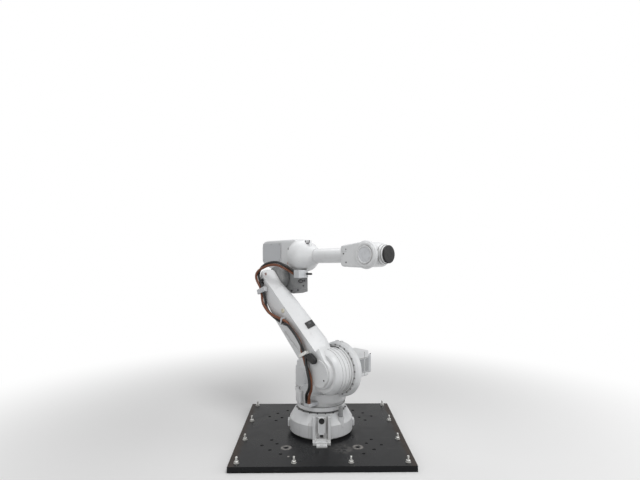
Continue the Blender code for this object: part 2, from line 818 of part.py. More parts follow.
def build_cable_entry():
    """The bracket and the gland that the harness rises from, on the frame's right side."""
    bracket_low = deck_low() - BRACKET_DROP
    bracket_points = arc((0, 0), BRACKET_REACH, BRACKET_START, BRACKET_END, 11)
    bracket_points += arc((0, 0), NECK_RADIUS - 0.020, BRACKET_END, BRACKET_START, 7)
    bracket = outline(
        "cable_bracket", bracket_points, bracket_low, bracket_low + BRACKET_HEIGHT, AXIS_1, WHITE, upright=False
    )
    round_edges(bracket, 0.014, 3)
    gland = box(
        "cable_gland",
        (GLAND_FORWARD - GLAND_WIDTH / 2, GLAND_NEAR, deck_low()),
        (GLAND_FORWARD + GLAND_WIDTH / 2, GLAND_FAR, deck_low() + GLAND_HEIGHT),
        AXIS_1,
        GREY_COVER,
        0.006,
    )
    cut(bracket, neck_room("bracket_room"))
    cut(gland, neck_room("gland_room"))


def neck_room(name):
    """The frame's round neck with the seat gap added, to cut what is bolted to it."""
    low = shoulder_low()
    top = low + TURNTABLE_HEIGHT
    return turned(
        name,
        [
            (CRADLE_RADIUS + SEAT_GAP, CRADLE_HEIGHT + 0.1),
            (CRADLE_RADIUS + SEAT_GAP, CRADLE_HEIGHT - 0.012),
            (NECK_RADIUS + SEAT_GAP, top + 0.010),
            (TURNTABLE_RADIUS + SEAT_GAP, top + 0.0005),
            (TURNTABLE_RADIUS + SEAT_GAP, low - 0.05),
        ],
        AXIS_1,
        None,
    )


def build_second_axis():
    """The second axis: gear ring between frame and arm, and the motor on the far side."""
    centre = (AXIS_2_FORWARD, 0, AXIS_2_HEIGHT)
    turned(
        "axis_2_gear_ring",
        [
            (GEAR_2_RADIUS - 0.004, BELL_NEAR - SEAT_GAP),
            (GEAR_2_RADIUS, BELL_NEAR - SEAT_GAP - 0.004),
            (GEAR_2_RADIUS, GEAR_2_NEAR + 0.003),
            (GEAR_2_RADIUS - 0.003, GEAR_2_NEAR),
        ],
        AXIS_1,
        GREY_COVER,
        centre,
        (0, 1, 0),
    )
    near = BELL_FAR + SEAT_GAP
    far = near + MOTOR_2_LENGTH
    x, z = AXIS_2_FORWARD, AXIS_2_HEIGHT
    box(
        "axis_2_motor",
        (x - MOTOR_2_WIDTH / 2, near, z + MOTOR_2_BOTTOM),
        (x + MOTOR_2_WIDTH / 2, far, z + MOTOR_2_TOP),
        AXIS_1,
        WHITE,
        0.010,
    )
    box(
        "axis_2_motor_cap",
        (x - MOTOR_2_CAP_WIDTH / 2, far + SEAT_GAP, z - MOTOR_2_CAP_HEIGHT / 2),
        (x + MOTOR_2_CAP_WIDTH / 2, far + SEAT_GAP + MOTOR_2_CAP_LENGTH, z + MOTOR_2_CAP_HEIGHT / 2),
        AXIS_1,
        GREY_COVER,
        0.008,
    )


def lower_arm_outline():
    """The lower arm's side outline, from its foot round the front to the elbow and down the back."""
    foot = arc((0, 0), ARM_FOOT_RADIUS, 190, 380, 17)
    front = [ARM_FRONT_LOW, ARM_FRONT_HIGH]
    crest_middle = (ARM_FRONT_HIGH[0] - CREST_RADIUS, LOWER_ARM_LENGTH + CREST_HEIGHT)
    crest = arc(crest_middle, CREST_RADIUS, 0, 80, 7)
    elbow = arc((0, LOWER_ARM_LENGTH), ELBOW_RADIUS, 115, 165, 5)
    back = [ARM_BACK_HIGH, ARM_BACK_MIDDLE, ARM_BACK_LOW]
    return foot + front + crest + elbow + back


def flank_place():
    """The foot of the slanted face's edge on the arm's right side, with +Z up along that edge."""
    slope = math.atan2(FLANK_HIGH[0] - FLANK_LOW[0], FLANK_HIGH[1] - FLANK_LOW[1])
    return Matrix.Translation((FLANK_LOW[0], 0, FLANK_LOW[1])) @ Matrix.Rotation(slope, 4, "Y")


def front_face_cutter():
    """What the slanted front face takes off the arm."""
    turn = math.radians(FLANK_TURN)
    near = (-0.06 * math.sin(turn), ARM_NEAR - 0.06 * math.cos(turn))
    far = (0.25 * math.sin(turn), ARM_NEAR + 0.25 * math.cos(turn))
    points = [near, (BLOCK_REACH, near[1]), (BLOCK_REACH, far[1]), far]
    cutter = outline("front_face", points, 0, LOWER_ARM_LENGTH * 1.2, AXIS_2, None, upright=False)
    cutter.matrix_basis = flank_place() @ cutter.matrix_basis
    return cutter


def elbow_taper_cutter():
    """What the arm's left side loses as it narrows to the elbow."""
    seat = LOWER_ARM_LENGTH - GEAR_3_RADIUS - 0.008
    start = LOWER_ARM_LENGTH - ELBOW_TAPER
    top = LOWER_ARM_LENGTH * 1.2
    points = [(start, ARM_FAR), (seat, ELBOW_FAR), (top, ELBOW_FAR), (top, 0.05), (start, 0.05)]
    cutter = outline("elbow_taper", points, -0.3, 0.3, AXIS_2, None, upright=False)
    cutter.matrix_basis = Matrix.Rotation(math.radians(-90), 4, "Y") @ cutter.matrix_basis
    return cutter


def build_lower_arm():
    """The lower arm casting with its hub and hub cover."""
    arm = outline("lower_arm_casting", lower_arm_outline(), ARM_NEAR, ARM_FAR, AXIS_2, WHITE)
    round_edges(arm, ARM_EDGE)
    turn = math.radians(BACK_FACE_TURN)
    x, side = BACK_FACE_NEAR
    back_face = half_space("back_face", (x, side, 0.5), (-math.cos(turn), math.sin(turn), 0), AXIS_2)
    cut(arm, front_face_cutter(), elbow_taper_cutter(), back_face)
    hub = turned(
        "hub",
        [
            (HUB_BACK_RADIUS, HUB_FAR),
            (HUB_BACK_RADIUS, HUB_NEAR + 0.040),
            (HUB_RADIUS, HUB_NEAR + 0.012),
            (HUB_RADIUS - 0.012, HUB_NEAR),
        ],
        AXIS_2,
        None,
        (0, 0, 0),
        (0, 1, 0),
    )
    join(arm, hub)
    turned(
        "hub_cover",
        [
            (HUB_COVER_RADIUS, ARM_NEAR - SEAT_GAP),
            (HUB_COVER_RADIUS, ARM_NEAR - SEAT_GAP - HUB_COVER_THICKNESS + 0.002),
            (HUB_COVER_RADIUS - 0.002, ARM_NEAR - SEAT_GAP - HUB_COVER_THICKNESS),
        ],
        AXIS_2,
        WHITE,
        axis=(0, 1, 0),
        steps=SMALL_STEPS * 2,
    )


def build_front_pad():
    """The black rubber pad on the lower arm's slanted front face."""
    turn = math.radians(FLANK_TURN)
    middle = (PAD_ACROSS * math.sin(turn), ARM_NEAR + PAD_ACROSS * math.cos(turn), PAD_ALONG)
    pad = box(
        "front_pad",
        (SEAT_GAP, -PAD_WIDTH / 2, -PAD_HEIGHT / 2),
        (SEAT_GAP + PAD_THICKNESS, PAD_WIDTH / 2, PAD_HEIGHT / 2),
        AXIS_2,
        BLACK_RUBBER,
        0.002,
    )
    pad.matrix_basis = flank_place() @ Matrix.Translation(middle) @ Matrix.Rotation(-turn, 4, "Z")


def build_clamps():
    """What holds the harness on the lower arm."""
    pad_low = ARM_NEAR - 2 * SEAT_GAP - HUB_COVER_THICKNESS
    x, z = LOWER_PAD
    pad = box(
        "lower_cable_pad",
        (-LOWER_PAD_LENGTH / 2, CLAMP_NEAR, -LOWER_PAD_WIDTH / 2),
        (LOWER_PAD_LENGTH / 2, pad_low, LOWER_PAD_WIDTH / 2),
        AXIS_2,
        BLACK_RUBBER,
    )
    round_edges(pad, LOWER_PAD_WIDTH * 0.28, 3)
    pad.matrix_basis = Matrix.Translation((x, 0, z)) @ Matrix.Rotation(math.radians(-17), 4, "Y")
    clamp_block("metal_clamp", METAL_CLAMP, METAL_CLAMP_TILT, METAL_CLAMP_WIDTH, METAL_CLAMP_HEIGHT, ZINC)
    clamp_block("middle_clip", MIDDLE_CLIP, MIDDLE_CLIP_TILT, MIDDLE_CLIP_WIDTH, MIDDLE_CLIP_HEIGHT, WHITE)
    clamp_block(
        "upper_bracket", UPPER_BRACKET, UPPER_BRACKET_TILT, UPPER_BRACKET_WIDTH, UPPER_BRACKET_HEIGHT, WHITE
    )


def build_harness():
    """The two cables, in stretches that end at the clamps."""
    reach = METAL_CLAMP_HEIGHT / 2 + SEAT_GAP
    top = deck_low() + GLAND_HEIGHT + SEAT_GAP
    below = past(METAL_CLAMP, METAL_CLAMP_TILT, -reach)
    before = past(METAL_CLAMP, METAL_CLAMP_TILT, -reach - 0.016)
    shoulder = [(GLAND_FORWARD, CABLE_PLANE + 0.010, top), (GLAND_FORWARD, CABLE_PLANE + 0.010, top + 0.018)]
    bulge = ((0.086, -0.167), (0.110, -0.116), (0.112, -0.063), (0.095, -0.007))
    shoulder += [(f, CABLE_PLANE, AXIS_2_HEIGHT + rise) for f, rise in bulge]
    shoulder += [leaning(-0.046, 0.108), leaning(*before), leaning(*below)]
    cable_pair("shoulder", shoulder, AXIS_1)

    clip_reach = MIDDLE_CLIP_HEIGHT / 2 + SEAT_GAP
    above = past(METAL_CLAMP, METAL_CLAMP_TILT, reach)
    after = past(METAL_CLAMP, METAL_CLAMP_TILT, reach + 0.014)
    clip_low = past(MIDDLE_CLIP, MIDDLE_CLIP_TILT, -clip_reach)
    clip_before = past(MIDDLE_CLIP, MIDDLE_CLIP_TILT, -clip_reach - 0.020)
    lower = [above, after, (0.008, 0.255), (0.006, 0.339), (-0.012, 0.430), clip_before, clip_low]
    cable_pair("lower_arm", [(x, CABLE_PLANE, z) for x, z in lower], AXIS_2)

    bracket_reach = UPPER_BRACKET_HEIGHT / 2 + SEAT_GAP
    clip_high = past(MIDDLE_CLIP, MIDDLE_CLIP_TILT, clip_reach)
    clip_after = past(MIDDLE_CLIP, MIDDLE_CLIP_TILT, clip_reach + 0.020)
    bracket_low = past(UPPER_BRACKET, UPPER_BRACKET_TILT, -bracket_reach)
    bracket_before = past(UPPER_BRACKET, UPPER_BRACKET_TILT, -bracket_reach - 0.020)
    sweep = [(x, LOWER_ARM_LENGTH + rise) for x, rise in ((-0.090, -0.335), (-0.134, -0.250), (-0.138, -0.165))]
    upper = [clip_high, clip_after, *sweep, bracket_before, bracket_low]
    cable_pair("upper_stretch", [(x, CABLE_PLANE, z) for x, z in upper], AXIS_2)

    bracket_top = past(UPPER_BRACKET, UPPER_BRACKET_TILT, bracket_reach)
    bracket_after = past(UPPER_BRACKET, UPPER_BRACKET_TILT, bracket_reach + 0.016)
    entry = JUNCTION_LOW + JUNCTION_HEIGHT + SEAT_GAP
    middle = JUNCTION_BACK + JUNCTION_LENGTH * 0.46
    side = JUNCTION_NEAR + 0.022
    elbow = [from_elbow(*bracket_top), from_elbow(*bracket_after), (-0.090, CABLE_PLANE, 0.008)]
    elbow += [(-0.062, CABLE_PLANE, 0.066), (0.025, CABLE_PLANE + 0.007, 0.108), (0.130, CABLE_PLANE + 0.022, 0.120)]
    elbow += [(0.215, -0.150, 0.100), (middle, side, entry + 0.018), (middle, side, entry)]
    cable_pair("elbow", elbow, AXIS_3)


def build_upper_arm():
    """The upper arm housing: a rounded box at the back, a barrel and a cone at the front."""
    corner = HOUSING_CORNER
    low = CASING_TOP
    side_points = (
        [(HOUSING_BACK, HOUSING_BACK_LOW + 0.02), (HOUSING_BACK + 0.02, HOUSING_BACK_LOW)]
        + [(-0.120, low), (HOUSING_FRONT, low), (HOUSING_FRONT, HOUSING_TOP - 0.012)]
        + [(HOUSING_FRONT - 0.03, HOUSING_TOP)]
        + arc((HOUSING_BACK + corner, HOUSING_TOP - corner), corner, 90, 180, 4)
    )
    housing = outline("upper_arm_housing", side_points, HOUSING_NEAR, HOUSING_FAR, AXIS_3, WHITE)
    round_edges(housing, HOUSING_EDGE)
    ring_room = cylinder(
        "ring_room", GEAR_3_RADIUS + 0.006, -0.1, CASING_NEAR, AXIS_3, None, axis=(0, 1, 0), steps=ROUND_STEPS
    )
    cut(housing, ring_room)
    barrel = turned(
        "barrel",
        [
            (FOREARM_RADIUS + 0.003, CONE_END),
            (FOREARM_RADIUS + 0.008, CONE_END - 0.012),
            (FOREARM_RADIUS + 0.024, CONE_END - 0.045),
            (BARREL_RADIUS - 0.020, CONE_END - 0.088),
            (BARREL_RADIUS, CONE_END - 0.130),
            (BARREL_RADIUS, HOUSING_FRONT - 0.010),
            (BARREL_RADIUS - 0.020, HOUSING_FRONT - 0.045),
            (BARREL_RADIUS - 0.060, HOUSING_FRONT - 0.062),
        ],
        AXIS_4,
        None,
        (0, 0, 0),
        (1, 0, 0),
    )
    join(housing, barrel)
    cut(housing, underside("barrel_underside", 0.0))


def underside(name, drop):
    """What the slanted underside takes off the barrel, or off its room a given distance lower."""
    slope = math.radians(UNDERSIDE_SLOPE)
    x, z = UNDERSIDE_START
    return half_space(name, (x, 0, z - drop), (math.sin(slope), 0, -math.cos(slope)), AXIS_3)


def build_upper_covers():
    """Covers on the housing's right side, left side and back."""
    width = SIDE_COVER_THICKNESS
    for name, near in (("right_side_cover", HOUSING_NEAR - SEAT_GAP - width), ("left_side_cover", HOUSING_FAR + SEAT_GAP)):
        box(
            name,
            (SIDE_COVER_BACK, near, SIDE_COVER_LOW),
            (SIDE_COVER_FRONT, near + width, SIDE_COVER_HIGH),
            AXIS_3,
            GREY_COVER,
            0.004,
        )
    middle = (HOUSING_NEAR + HOUSING_FAR) / 2
    box(
        "back_cover",
        (HOUSING_BACK - SEAT_GAP - width, middle - END_COVER_WIDTH / 2, 0.100),
        (HOUSING_BACK - SEAT_GAP, middle + END_COVER_WIDTH / 2, 0.100 + END_COVER_HEIGHT),
        AXIS_3,
        WHITE,
        0.004,
    )


def build_third_axis():
    """The third axis: dark gear casing under the housing, its motor and the junction box."""
    top = CASING_TOP - SEAT_GAP
    hub_start = 180 - math.degrees(math.asin(top / ELBOW_HUB_RADIUS))
    casing_points = arc((0, 0), ELBOW_HUB_RADIUS, hub_start, 285, 15)
    casing_points += [(0.122, -0.132), (CASING_NOSE - 0.022, -0.090), (CASING_NOSE, 0.000), (CASING_NOSE - 0.010, top)]
    casing = outline("axis_3_gear_casing", casing_points, CASING_NEAR, CASING_FAR, AXIS_3, DARK_CASTING)
    round_edges(casing, CASING_EDGE)
    room = cylinder(
        "barrel_room", BARREL_RADIUS + SEAT_GAP, 0.05, 0.45, AXIS_4, None, axis=(1, 0, 0), steps=ROUND_STEPS
    )
    cut(room, underside("room_underside", SEAT_GAP))
    turn = math.radians(CASING_SIDE_TURN)
    start = (CASING_NOSE - CASING_EDGE, CASING_NEAR, 0)
    side_face = half_space("side_face", start, (math.sin(turn), math.cos(turn), 0), AXIS_3)
    cut(casing, room, side_face)
    cylinder(
        "axis_3_gear_ring", GEAR_3_RADIUS, ELBOW_FAR + SEAT_GAP, CASING_NEAR - RUNNING_GAP, AXIS_2, DARK_CASTING,
        (0, 0, LOWER_ARM_LENGTH), (0, 1, 0), ROUND_STEPS,
    )
    near = CASING_FAR + SEAT_GAP
    far = near + MOTOR_3_LENGTH
    turned(
        "axis_3_motor",
        [
            (MOTOR_3_CAP_RADIUS - 0.004, far + MOTOR_3_CAP_LENGTH),
            (MOTOR_3_CAP_RADIUS, far + MOTOR_3_CAP_LENGTH - 0.004),
            (MOTOR_3_CAP_RADIUS, far),
            (MOTOR_3_RADIUS, far),
            (MOTOR_3_RADIUS, near),
        ],
        AXIS_3,
        DARK_CASTING,
        axis=(0, 1, 0),
        steps=SMALL_STEPS * 2,
    )
    junction_far = CASING_NEAR - SEAT_GAP
    front = JUNCTION_BACK + JUNCTION_LENGTH
    junction = box(
        "junction_box",
        (JUNCTION_BACK, JUNCTION_NEAR, JUNCTION_LOW),
        (front, junction_far, JUNCTION_LOW + JUNCTION_HEIGHT),
        AXIS_3,
        DARK_CASTING,
        0.004,
    )
    cut(junction, room)
    cylinder(
        "connector_pin",
        CONNECTOR_PIN_RADIUS,
        front + SEAT_GAP,
        front + SEAT_GAP + CONNECTOR_PIN_LENGTH,
        AXIS_3,
        DARK_CASTING,
        (0, CONNECTOR_PIN_SIDE, JUNCTION_LOW + JUNCTION_HEIGHT * 0.62),
        (1, 0, 0),
    )


def build_forearm():
    """The forearm tube and the wrist fork, which turn about the fourth axis."""
    start = CONE_END + RUNNING_GAP
    join_end = WRIST_BLOCK_BACK - SEAT_GAP
    cylinder(
        "forearm_tube", FOREARM_RADIUS, start, join_end, AXIS_4, WHITE, axis=(1, 0, 0), steps=ROUND_STEPS
    )
    back = WRIST_BLOCK_BACK - FOREARM_LENGTH
    corner = WRIST_CORNER
    points = arc((back + corner, WRIST_TOP - corner), corner, 90, 180, 4)
    points += arc((back + corner, WRIST_BOTTOM + corner), corner, 180, 270, 4)
    points += arc((0, 0), WRIST_RADIUS, -115, 115, 21)
    inner = WRIST_HALF_WIDTH - WRIST_CHEEK
    far = inner + FAR_CHEEK_THICKNESS
    fork = outline("wrist_housing", points, -WRIST_HALF_WIDTH, far, AXIS_5, WHITE)
    round_edges(fork, WRIST_EDGE)
    slot = box("wrist_slot", (-WRIST_SLOT_BACK, -inner, -0.2), (0.2, 0.2, 0.2), AXIS_5, None)
    cheek_back = -WRIST_SLOT_BACK - 0.020
    cheek_points = [(cheek_back, FAR_CHEEK_RADIUS)] + [(cheek_back, -FAR_CHEEK_RADIUS)]
    cheek_points += arc((0, 0), FAR_CHEEK_RADIUS, -90, 90, 15)
    far_cheek = outline("far_cheek", cheek_points, inner, far, AXIS_5, None)
    cut(fork, slot)
    join(fork, far_cheek)
    for name, side, near, radius in (
        ("right_wrist_cover", -1, WRIST_HALF_WIDTH + SEAT_GAP, WRIST_COVER_RADIUS),
        ("left_wrist_cover", 1, far + SEAT_GAP, FAR_COVER_RADIUS),
    ):
        turned(
            name,
            [
                (radius - 0.002, near + WRIST_COVER_THICKNESS),
                (radius, near + WRIST_COVER_THICKNESS - 0.002),
                (radius, near),
            ],
            AXIS_5,
            GREY_COVER,
            (0, 0, 0),
            (0, side, 0),
            SMALL_STEPS * 2,
        )


def build_tool_end():
    """The tilting wrist body with its ring, and the tool disc."""
    cheek = WRIST_HALF_WIDTH - WRIST_CHEEK
    inner = cheek - TILT_SIDE_GAP
    body = cylinder(
        "tilt_housing", TILT_RADIUS, -inner, inner, AXIS_5, WHITE, axis=(0, 1, 0), steps=ROUND_STEPS
    )
    boss = cheek - RUNNING_GAP
    bosses = cylinder("tilt_bosses", TILT_BOSS_RADIUS, -boss, boss, AXIS_5, None, axis=(0, 1, 0))
    profile = list(reversed(TILT_NOSE)) + [(TILT_NOSE[0][0], 0.020), (0.045, 0.0)]
    nose = turned("tilt_nose", profile, AXIS_5, None, axis=(1, 0, 0))
    join(body, bosses, nose)
    near = TILT_NOSE[-1][1] + RUNNING_GAP
    turned(
        "tool_disc",
        [
            (TOOL_DISC_RADIUS - 0.003, FLANGE_REACH),
            (TOOL_DISC_RADIUS, FLANGE_REACH - 0.003),
            (TOOL_DISC_RADIUS, near),
        ],
        AXIS_6,
        BLACK_RUBBER,
        axis=(1, 0, 0),
    )


build_plate()
build_base()
build_base_fittings()
build_shoulder()
build_first_motor()
build_cable_entry()
build_second_axis()
build_lower_arm()
build_front_pad()
build_clamps()
build_upper_arm()
build_upper_covers()
build_third_axis()
build_harness()
build_forearm()
build_tool_end()
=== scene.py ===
"""Looks of a six-axis robot arm on its black floor plate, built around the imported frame."""

from __future__ import annotations

import json
import logging
import math
import sys
from dataclasses import dataclass
from enum import Enum
from typing import Any, Sequence

import bmesh
import bpy
from mathutils import Matrix, Vector

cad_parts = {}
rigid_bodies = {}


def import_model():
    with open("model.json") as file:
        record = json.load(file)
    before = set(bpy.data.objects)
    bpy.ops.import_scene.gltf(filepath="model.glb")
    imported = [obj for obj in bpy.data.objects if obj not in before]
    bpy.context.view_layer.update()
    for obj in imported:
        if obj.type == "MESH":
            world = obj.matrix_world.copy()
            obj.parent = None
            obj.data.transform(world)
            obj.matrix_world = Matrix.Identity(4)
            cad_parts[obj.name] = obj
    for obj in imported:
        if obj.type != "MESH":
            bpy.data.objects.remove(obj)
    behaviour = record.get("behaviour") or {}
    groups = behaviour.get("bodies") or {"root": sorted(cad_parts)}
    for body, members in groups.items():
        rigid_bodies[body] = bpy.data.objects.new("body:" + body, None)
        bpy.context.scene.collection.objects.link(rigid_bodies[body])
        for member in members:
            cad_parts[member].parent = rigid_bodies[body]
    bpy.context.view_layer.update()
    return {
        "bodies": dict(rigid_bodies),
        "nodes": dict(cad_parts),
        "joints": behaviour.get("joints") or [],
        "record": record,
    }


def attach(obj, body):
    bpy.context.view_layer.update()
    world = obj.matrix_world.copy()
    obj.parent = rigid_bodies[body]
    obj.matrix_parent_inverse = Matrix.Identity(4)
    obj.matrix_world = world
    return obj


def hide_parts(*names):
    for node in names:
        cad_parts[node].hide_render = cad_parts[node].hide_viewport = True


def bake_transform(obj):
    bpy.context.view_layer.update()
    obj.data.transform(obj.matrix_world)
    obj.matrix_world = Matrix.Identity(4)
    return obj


LOG = logging.getLogger("robot_arm")

Pair = tuple[float, float]
Triple = tuple[float, float, float]
# A place on a face with the direction that the face looks in
Spot = tuple[Vector, Vector]

PLATE_THICKNESS = 0.040
SHOULDER_TURN = -46.0
ARM_LEAN = -42.5
ELBOW_BEND = 41.5

# Places of the axes, each with X forward, Y left and Z up
FLOOR = Matrix.Identity(4)
DECK = Matrix.Translation((0.0, 0.0, PLATE_THICKNESS))
AXIS_1 = DECK @ Matrix.Rotation(math.radians(SHOULDER_TURN), 4, "Z")
SHOULDER_HUB = AXIS_1 @ Matrix.Translation((0.175, 0.0, 0.495))
AXIS_2 = SHOULDER_HUB @ Matrix.Rotation(math.radians(ARM_LEAN), 4, "Y")
AXIS_3 = (
    AXIS_2
    @ Matrix.Translation((0.0, 0.0, 0.900))
    @ Matrix.Rotation(math.radians(ELBOW_BEND), 4, "Y")
)
AXIS_4 = AXIS_3 @ Matrix.Translation((0.0, 0.0, 0.175))
AXIS_5 = AXIS_4 @ Matrix.Translation((0.960, 0.0, 0.0))

# Turns that lay a turned piece's own axis along the left, the forward or the backward direction
TO_LEFT = Matrix.Rotation(math.radians(-90.0), 4, "X")
TO_FRONT = Matrix.Rotation(math.radians(90.0), 4, "Y")
TO_BACK = Matrix.Rotation(math.radians(-90.0), 4, "Y")
# Turns that face a piece to the near side: X forward, Y up and Z towards the right of the arm
TO_RIGHT = Matrix.Rotation(math.radians(90.0), 4, "X")
LEFT = (AXIS_1.to_3x3() @ Vector((0.0, 1.0, 0.0))).normalized()


class Body(Enum):
    """The moving bodies of the arm."""

    BASE = "base"
    SHOULDER = "shoulder"
    LOWER_ARM = "lower_arm"
    UPPER_ARM = "upper_arm"
    FOREARM = "forearm"
    WRIST_TILT = "wrist_tilt"
    TOOL_FLANGE = "tool_flange"


class Slot(Enum):
    """The record's finishes."""

    PLATE = "plate_steel"
    WHITE = "white_paint"
    GREY = "grey_cover"
    CASTING = "dark_casting"
    ZINC = "zinc"
    RUBBER = "black_rubber"
    FLANGE = "black_flange"
    BROWN = "brown_cable"
    BLACK = "black_cable"


class Wire:
    """One value in a node tree, with plain sums on it."""

    def __init__(self, tree: Tree, socket: bpy.types.NodeSocket) -> None:
        """Holds the socket and its tree."""
        self.tree = tree
        self.socket = socket

    def _sum(self, operation: str, first: Any, second: Any, clamp: bool = False) -> Wire:
        """Makes one math node.

        Args:
            operation: the node's operation.
            first: a wire or number.
            second: a wire or number.
            clamp: whether the result is kept between 0 and 1.

        Returns:
            The result's wire.
        """
        settings = {"operation": operation, "use_clamp": clamp}
        return self.tree.node("ShaderNodeMath", settings, {0: first, 1: second})

    def __add__(self, other: Any) -> Wire:
        """The sum."""
        return self._sum("ADD", self, other)

    def __radd__(self, other: Any) -> Wire:
        """The sum, with the number first."""
        return self._sum("ADD", other, self)

    def __sub__(self, other: Any) -> Wire:
        """The difference."""
        return self._sum("SUBTRACT", self, other)

    def __rsub__(self, other: Any) -> Wire:
        """The difference, with the number first."""
        return self._sum("SUBTRACT", other, self)

    def __mul__(self, other: Any) -> Wire:
        """The product."""
        return self._sum("MULTIPLY", self, other)

    def __rmul__(self, other: Any) -> Wire:
        """The product, with the number first."""
        return self._sum("MULTIPLY", other, self)

    def __abs__(self) -> Wire:
        """The size without its sign."""
        return self._sum("ABSOLUTE", self, 0.0)

    def most(self, other: Any) -> Wire:
        """The greater of the two."""
        return self._sum("MAXIMUM", self, other)

    def held(self) -> Wire:
        """The value kept between 0 and 1."""
        return self._sum("ADD", self, 0.0, clamp=True)

    def rise(self, low: float, high: float) -> Wire:
        """Goes smoothly from 0 at low to 1 at high; low may be the greater.

        Args:
            low: where the result is 0.
            high: where the result is 1.

        Returns:
            The result's wire.
        """
        settings = {"interpolation_type": "SMOOTHSTEP"}
        if low <= high:
            return self.tree.node(
                "ShaderNodeMapRange", settings, {"Value": self, "From Min": low, "From Max": high}
            )
        fallen = self.tree.node(
            "ShaderNodeMapRange", settings, {"Value": self, "From Min": high, "From Max": low}
        )
        return 1.0 - fallen


class Tree:
    """A node tree in the making, for a finish or for Geometry Nodes."""

    def __init__(self, tree: bpy.types.NodeTree) -> None:
        """Holds the tree."""
        self.tree = tree

    def node(
        self,
        kind: str,
        settings: dict[str, Any] | None = None,
        sockets: dict[int | str, Any] | None = None,
        output: int | str = 0,
    ) -> Wire:
        """Adds a node, sets it up and joins its inputs.

        Args:
            kind: the node's type.
            settings: properties set before the sockets are used.
            sockets: inputs by name or number, each a wire or a plain value.
            output: the output to return, by name or number.

        Returns:
            The output's wire.
        """
        made = self.tree.nodes.new(kind)
        for name, value in (settings or {}).items():
            setattr(made, name, value)
        for key, value in (sockets or {}).items():
            if isinstance(value, Wire):
                self.tree.links.new(value.socket, made.inputs[key])
            else:
                made.inputs[key].default_value = value
        return Wire(self, made.outputs[output]) if made.outputs else Wire(self, None)

    def blended(self, first: Any, second: Any, share: Any) -> Wire:
        """Mixes two colours.

        Args:
            first: the colour at share 0.
            second: the colour at share 1.
            share: a wire or number.

        Returns:
            The mixed colour's wire.
        """
        first = first if isinstance(first, Wire) else (*first, 1.0)
        second = second if isinstance(second, Wire) else (*second, 1.0)
        return self.node(
            "ShaderNodeMix", {"data_type": "RGBA"}, {0: share, 6: first, 7: second}, 2
        )

    def noise(self, place: Wire, scale: float, detail: float, warp: float = 0.0) -> Wire:
        """Cloudy noise.

        Args:
            place: the coordinates.
            scale: clouds per metre.
            detail: octaves.
            warp: how much the clouds twist.

        Returns:
            A wire from 0 to 1.
        """
        return self.node(
            "ShaderNodeTexNoise",
            {"noise_dimensions": "3D"},
            {"Vector": place, "Scale": scale, "Detail": detail, "Distortion": warp},
        )

    def object_place(self, stretch: Triple | None = None) -> Wire:
        """The piece's own coordinates, stretched if asked.

        Args:
            stretch: factors along X, Y and Z.

        Returns:
            The coordinates' wire.
        """
        place = self.node("ShaderNodeTexCoord", output="Object")
        if stretch is None:
            return place
        return self.node(
            "ShaderNodeVectorMath", {"operation": "MULTIPLY"}, {0: place, 1: stretch}
        )

    def height(self, place: Wire) -> Wire:
        """The height of a place."""
        return self.node("ShaderNodeSeparateXYZ", None, {0: place}, "Z")

    def gap_to(self, place: Wire, spot: Triple) -> Wire:
        """The distance from a spot, on the flat.

        Args:
            place: the coordinates.
            spot: the spot.

        Returns:
            The distance in metres.
        """
        flat = self.node(
            "ShaderNodeVectorMath", {"operation": "MULTIPLY"}, {0: place, 1: (1.0, 1.0, 0.0)}
        )
        return self.node(
            "ShaderNodeVectorMath", {"operation": "DISTANCE"}, {0: flat, 1: spot}, "Value"
        )

    def bump(self, height: Wire, strength: float, depth: float) -> Wire:
        """A bump from a height.

        Args:
            height: the height's wire.
            strength: from 0 to 1.
            depth: metres from height 0 to 1.

        Returns:
            The normal's wire.
        """
        return self.node(
            "ShaderNodeBump", None, {"Height": height, "Strength": strength, "Distance": depth}
        )

    def crevice(self, reach: float) -> Wire:
        """How far a place is shut in by what stands beside it: 0 in the open, 1 in a corner."""
        open_share = self.node(
            "ShaderNodeAmbientOcclusion", {"samples": 6}, {"Distance": reach}, "AO"
        )
        return 1.0 - open_share


def new_finish(name: str, sockets: dict[str, Any], build: Any) -> bpy.types.Material:
    """Makes a material with one main shader.

    Args:
        name: the material's name.
        sockets: the shader's constants by socket name.
        build: a call that takes the tree and returns the varying inputs by name.

    Returns:
        The material.
    """
    material = bpy.data.materials.new(name)
    material.use_nodes = True
    material.node_tree.nodes.clear()
    tree = Tree(material.node_tree)
    shader = tree.node("ShaderNodeBsdfPrincipled", None, {**sockets, **build(tree)})
    tree.node("ShaderNodeOutputMaterial", None, {"Surface": shader})
    return material


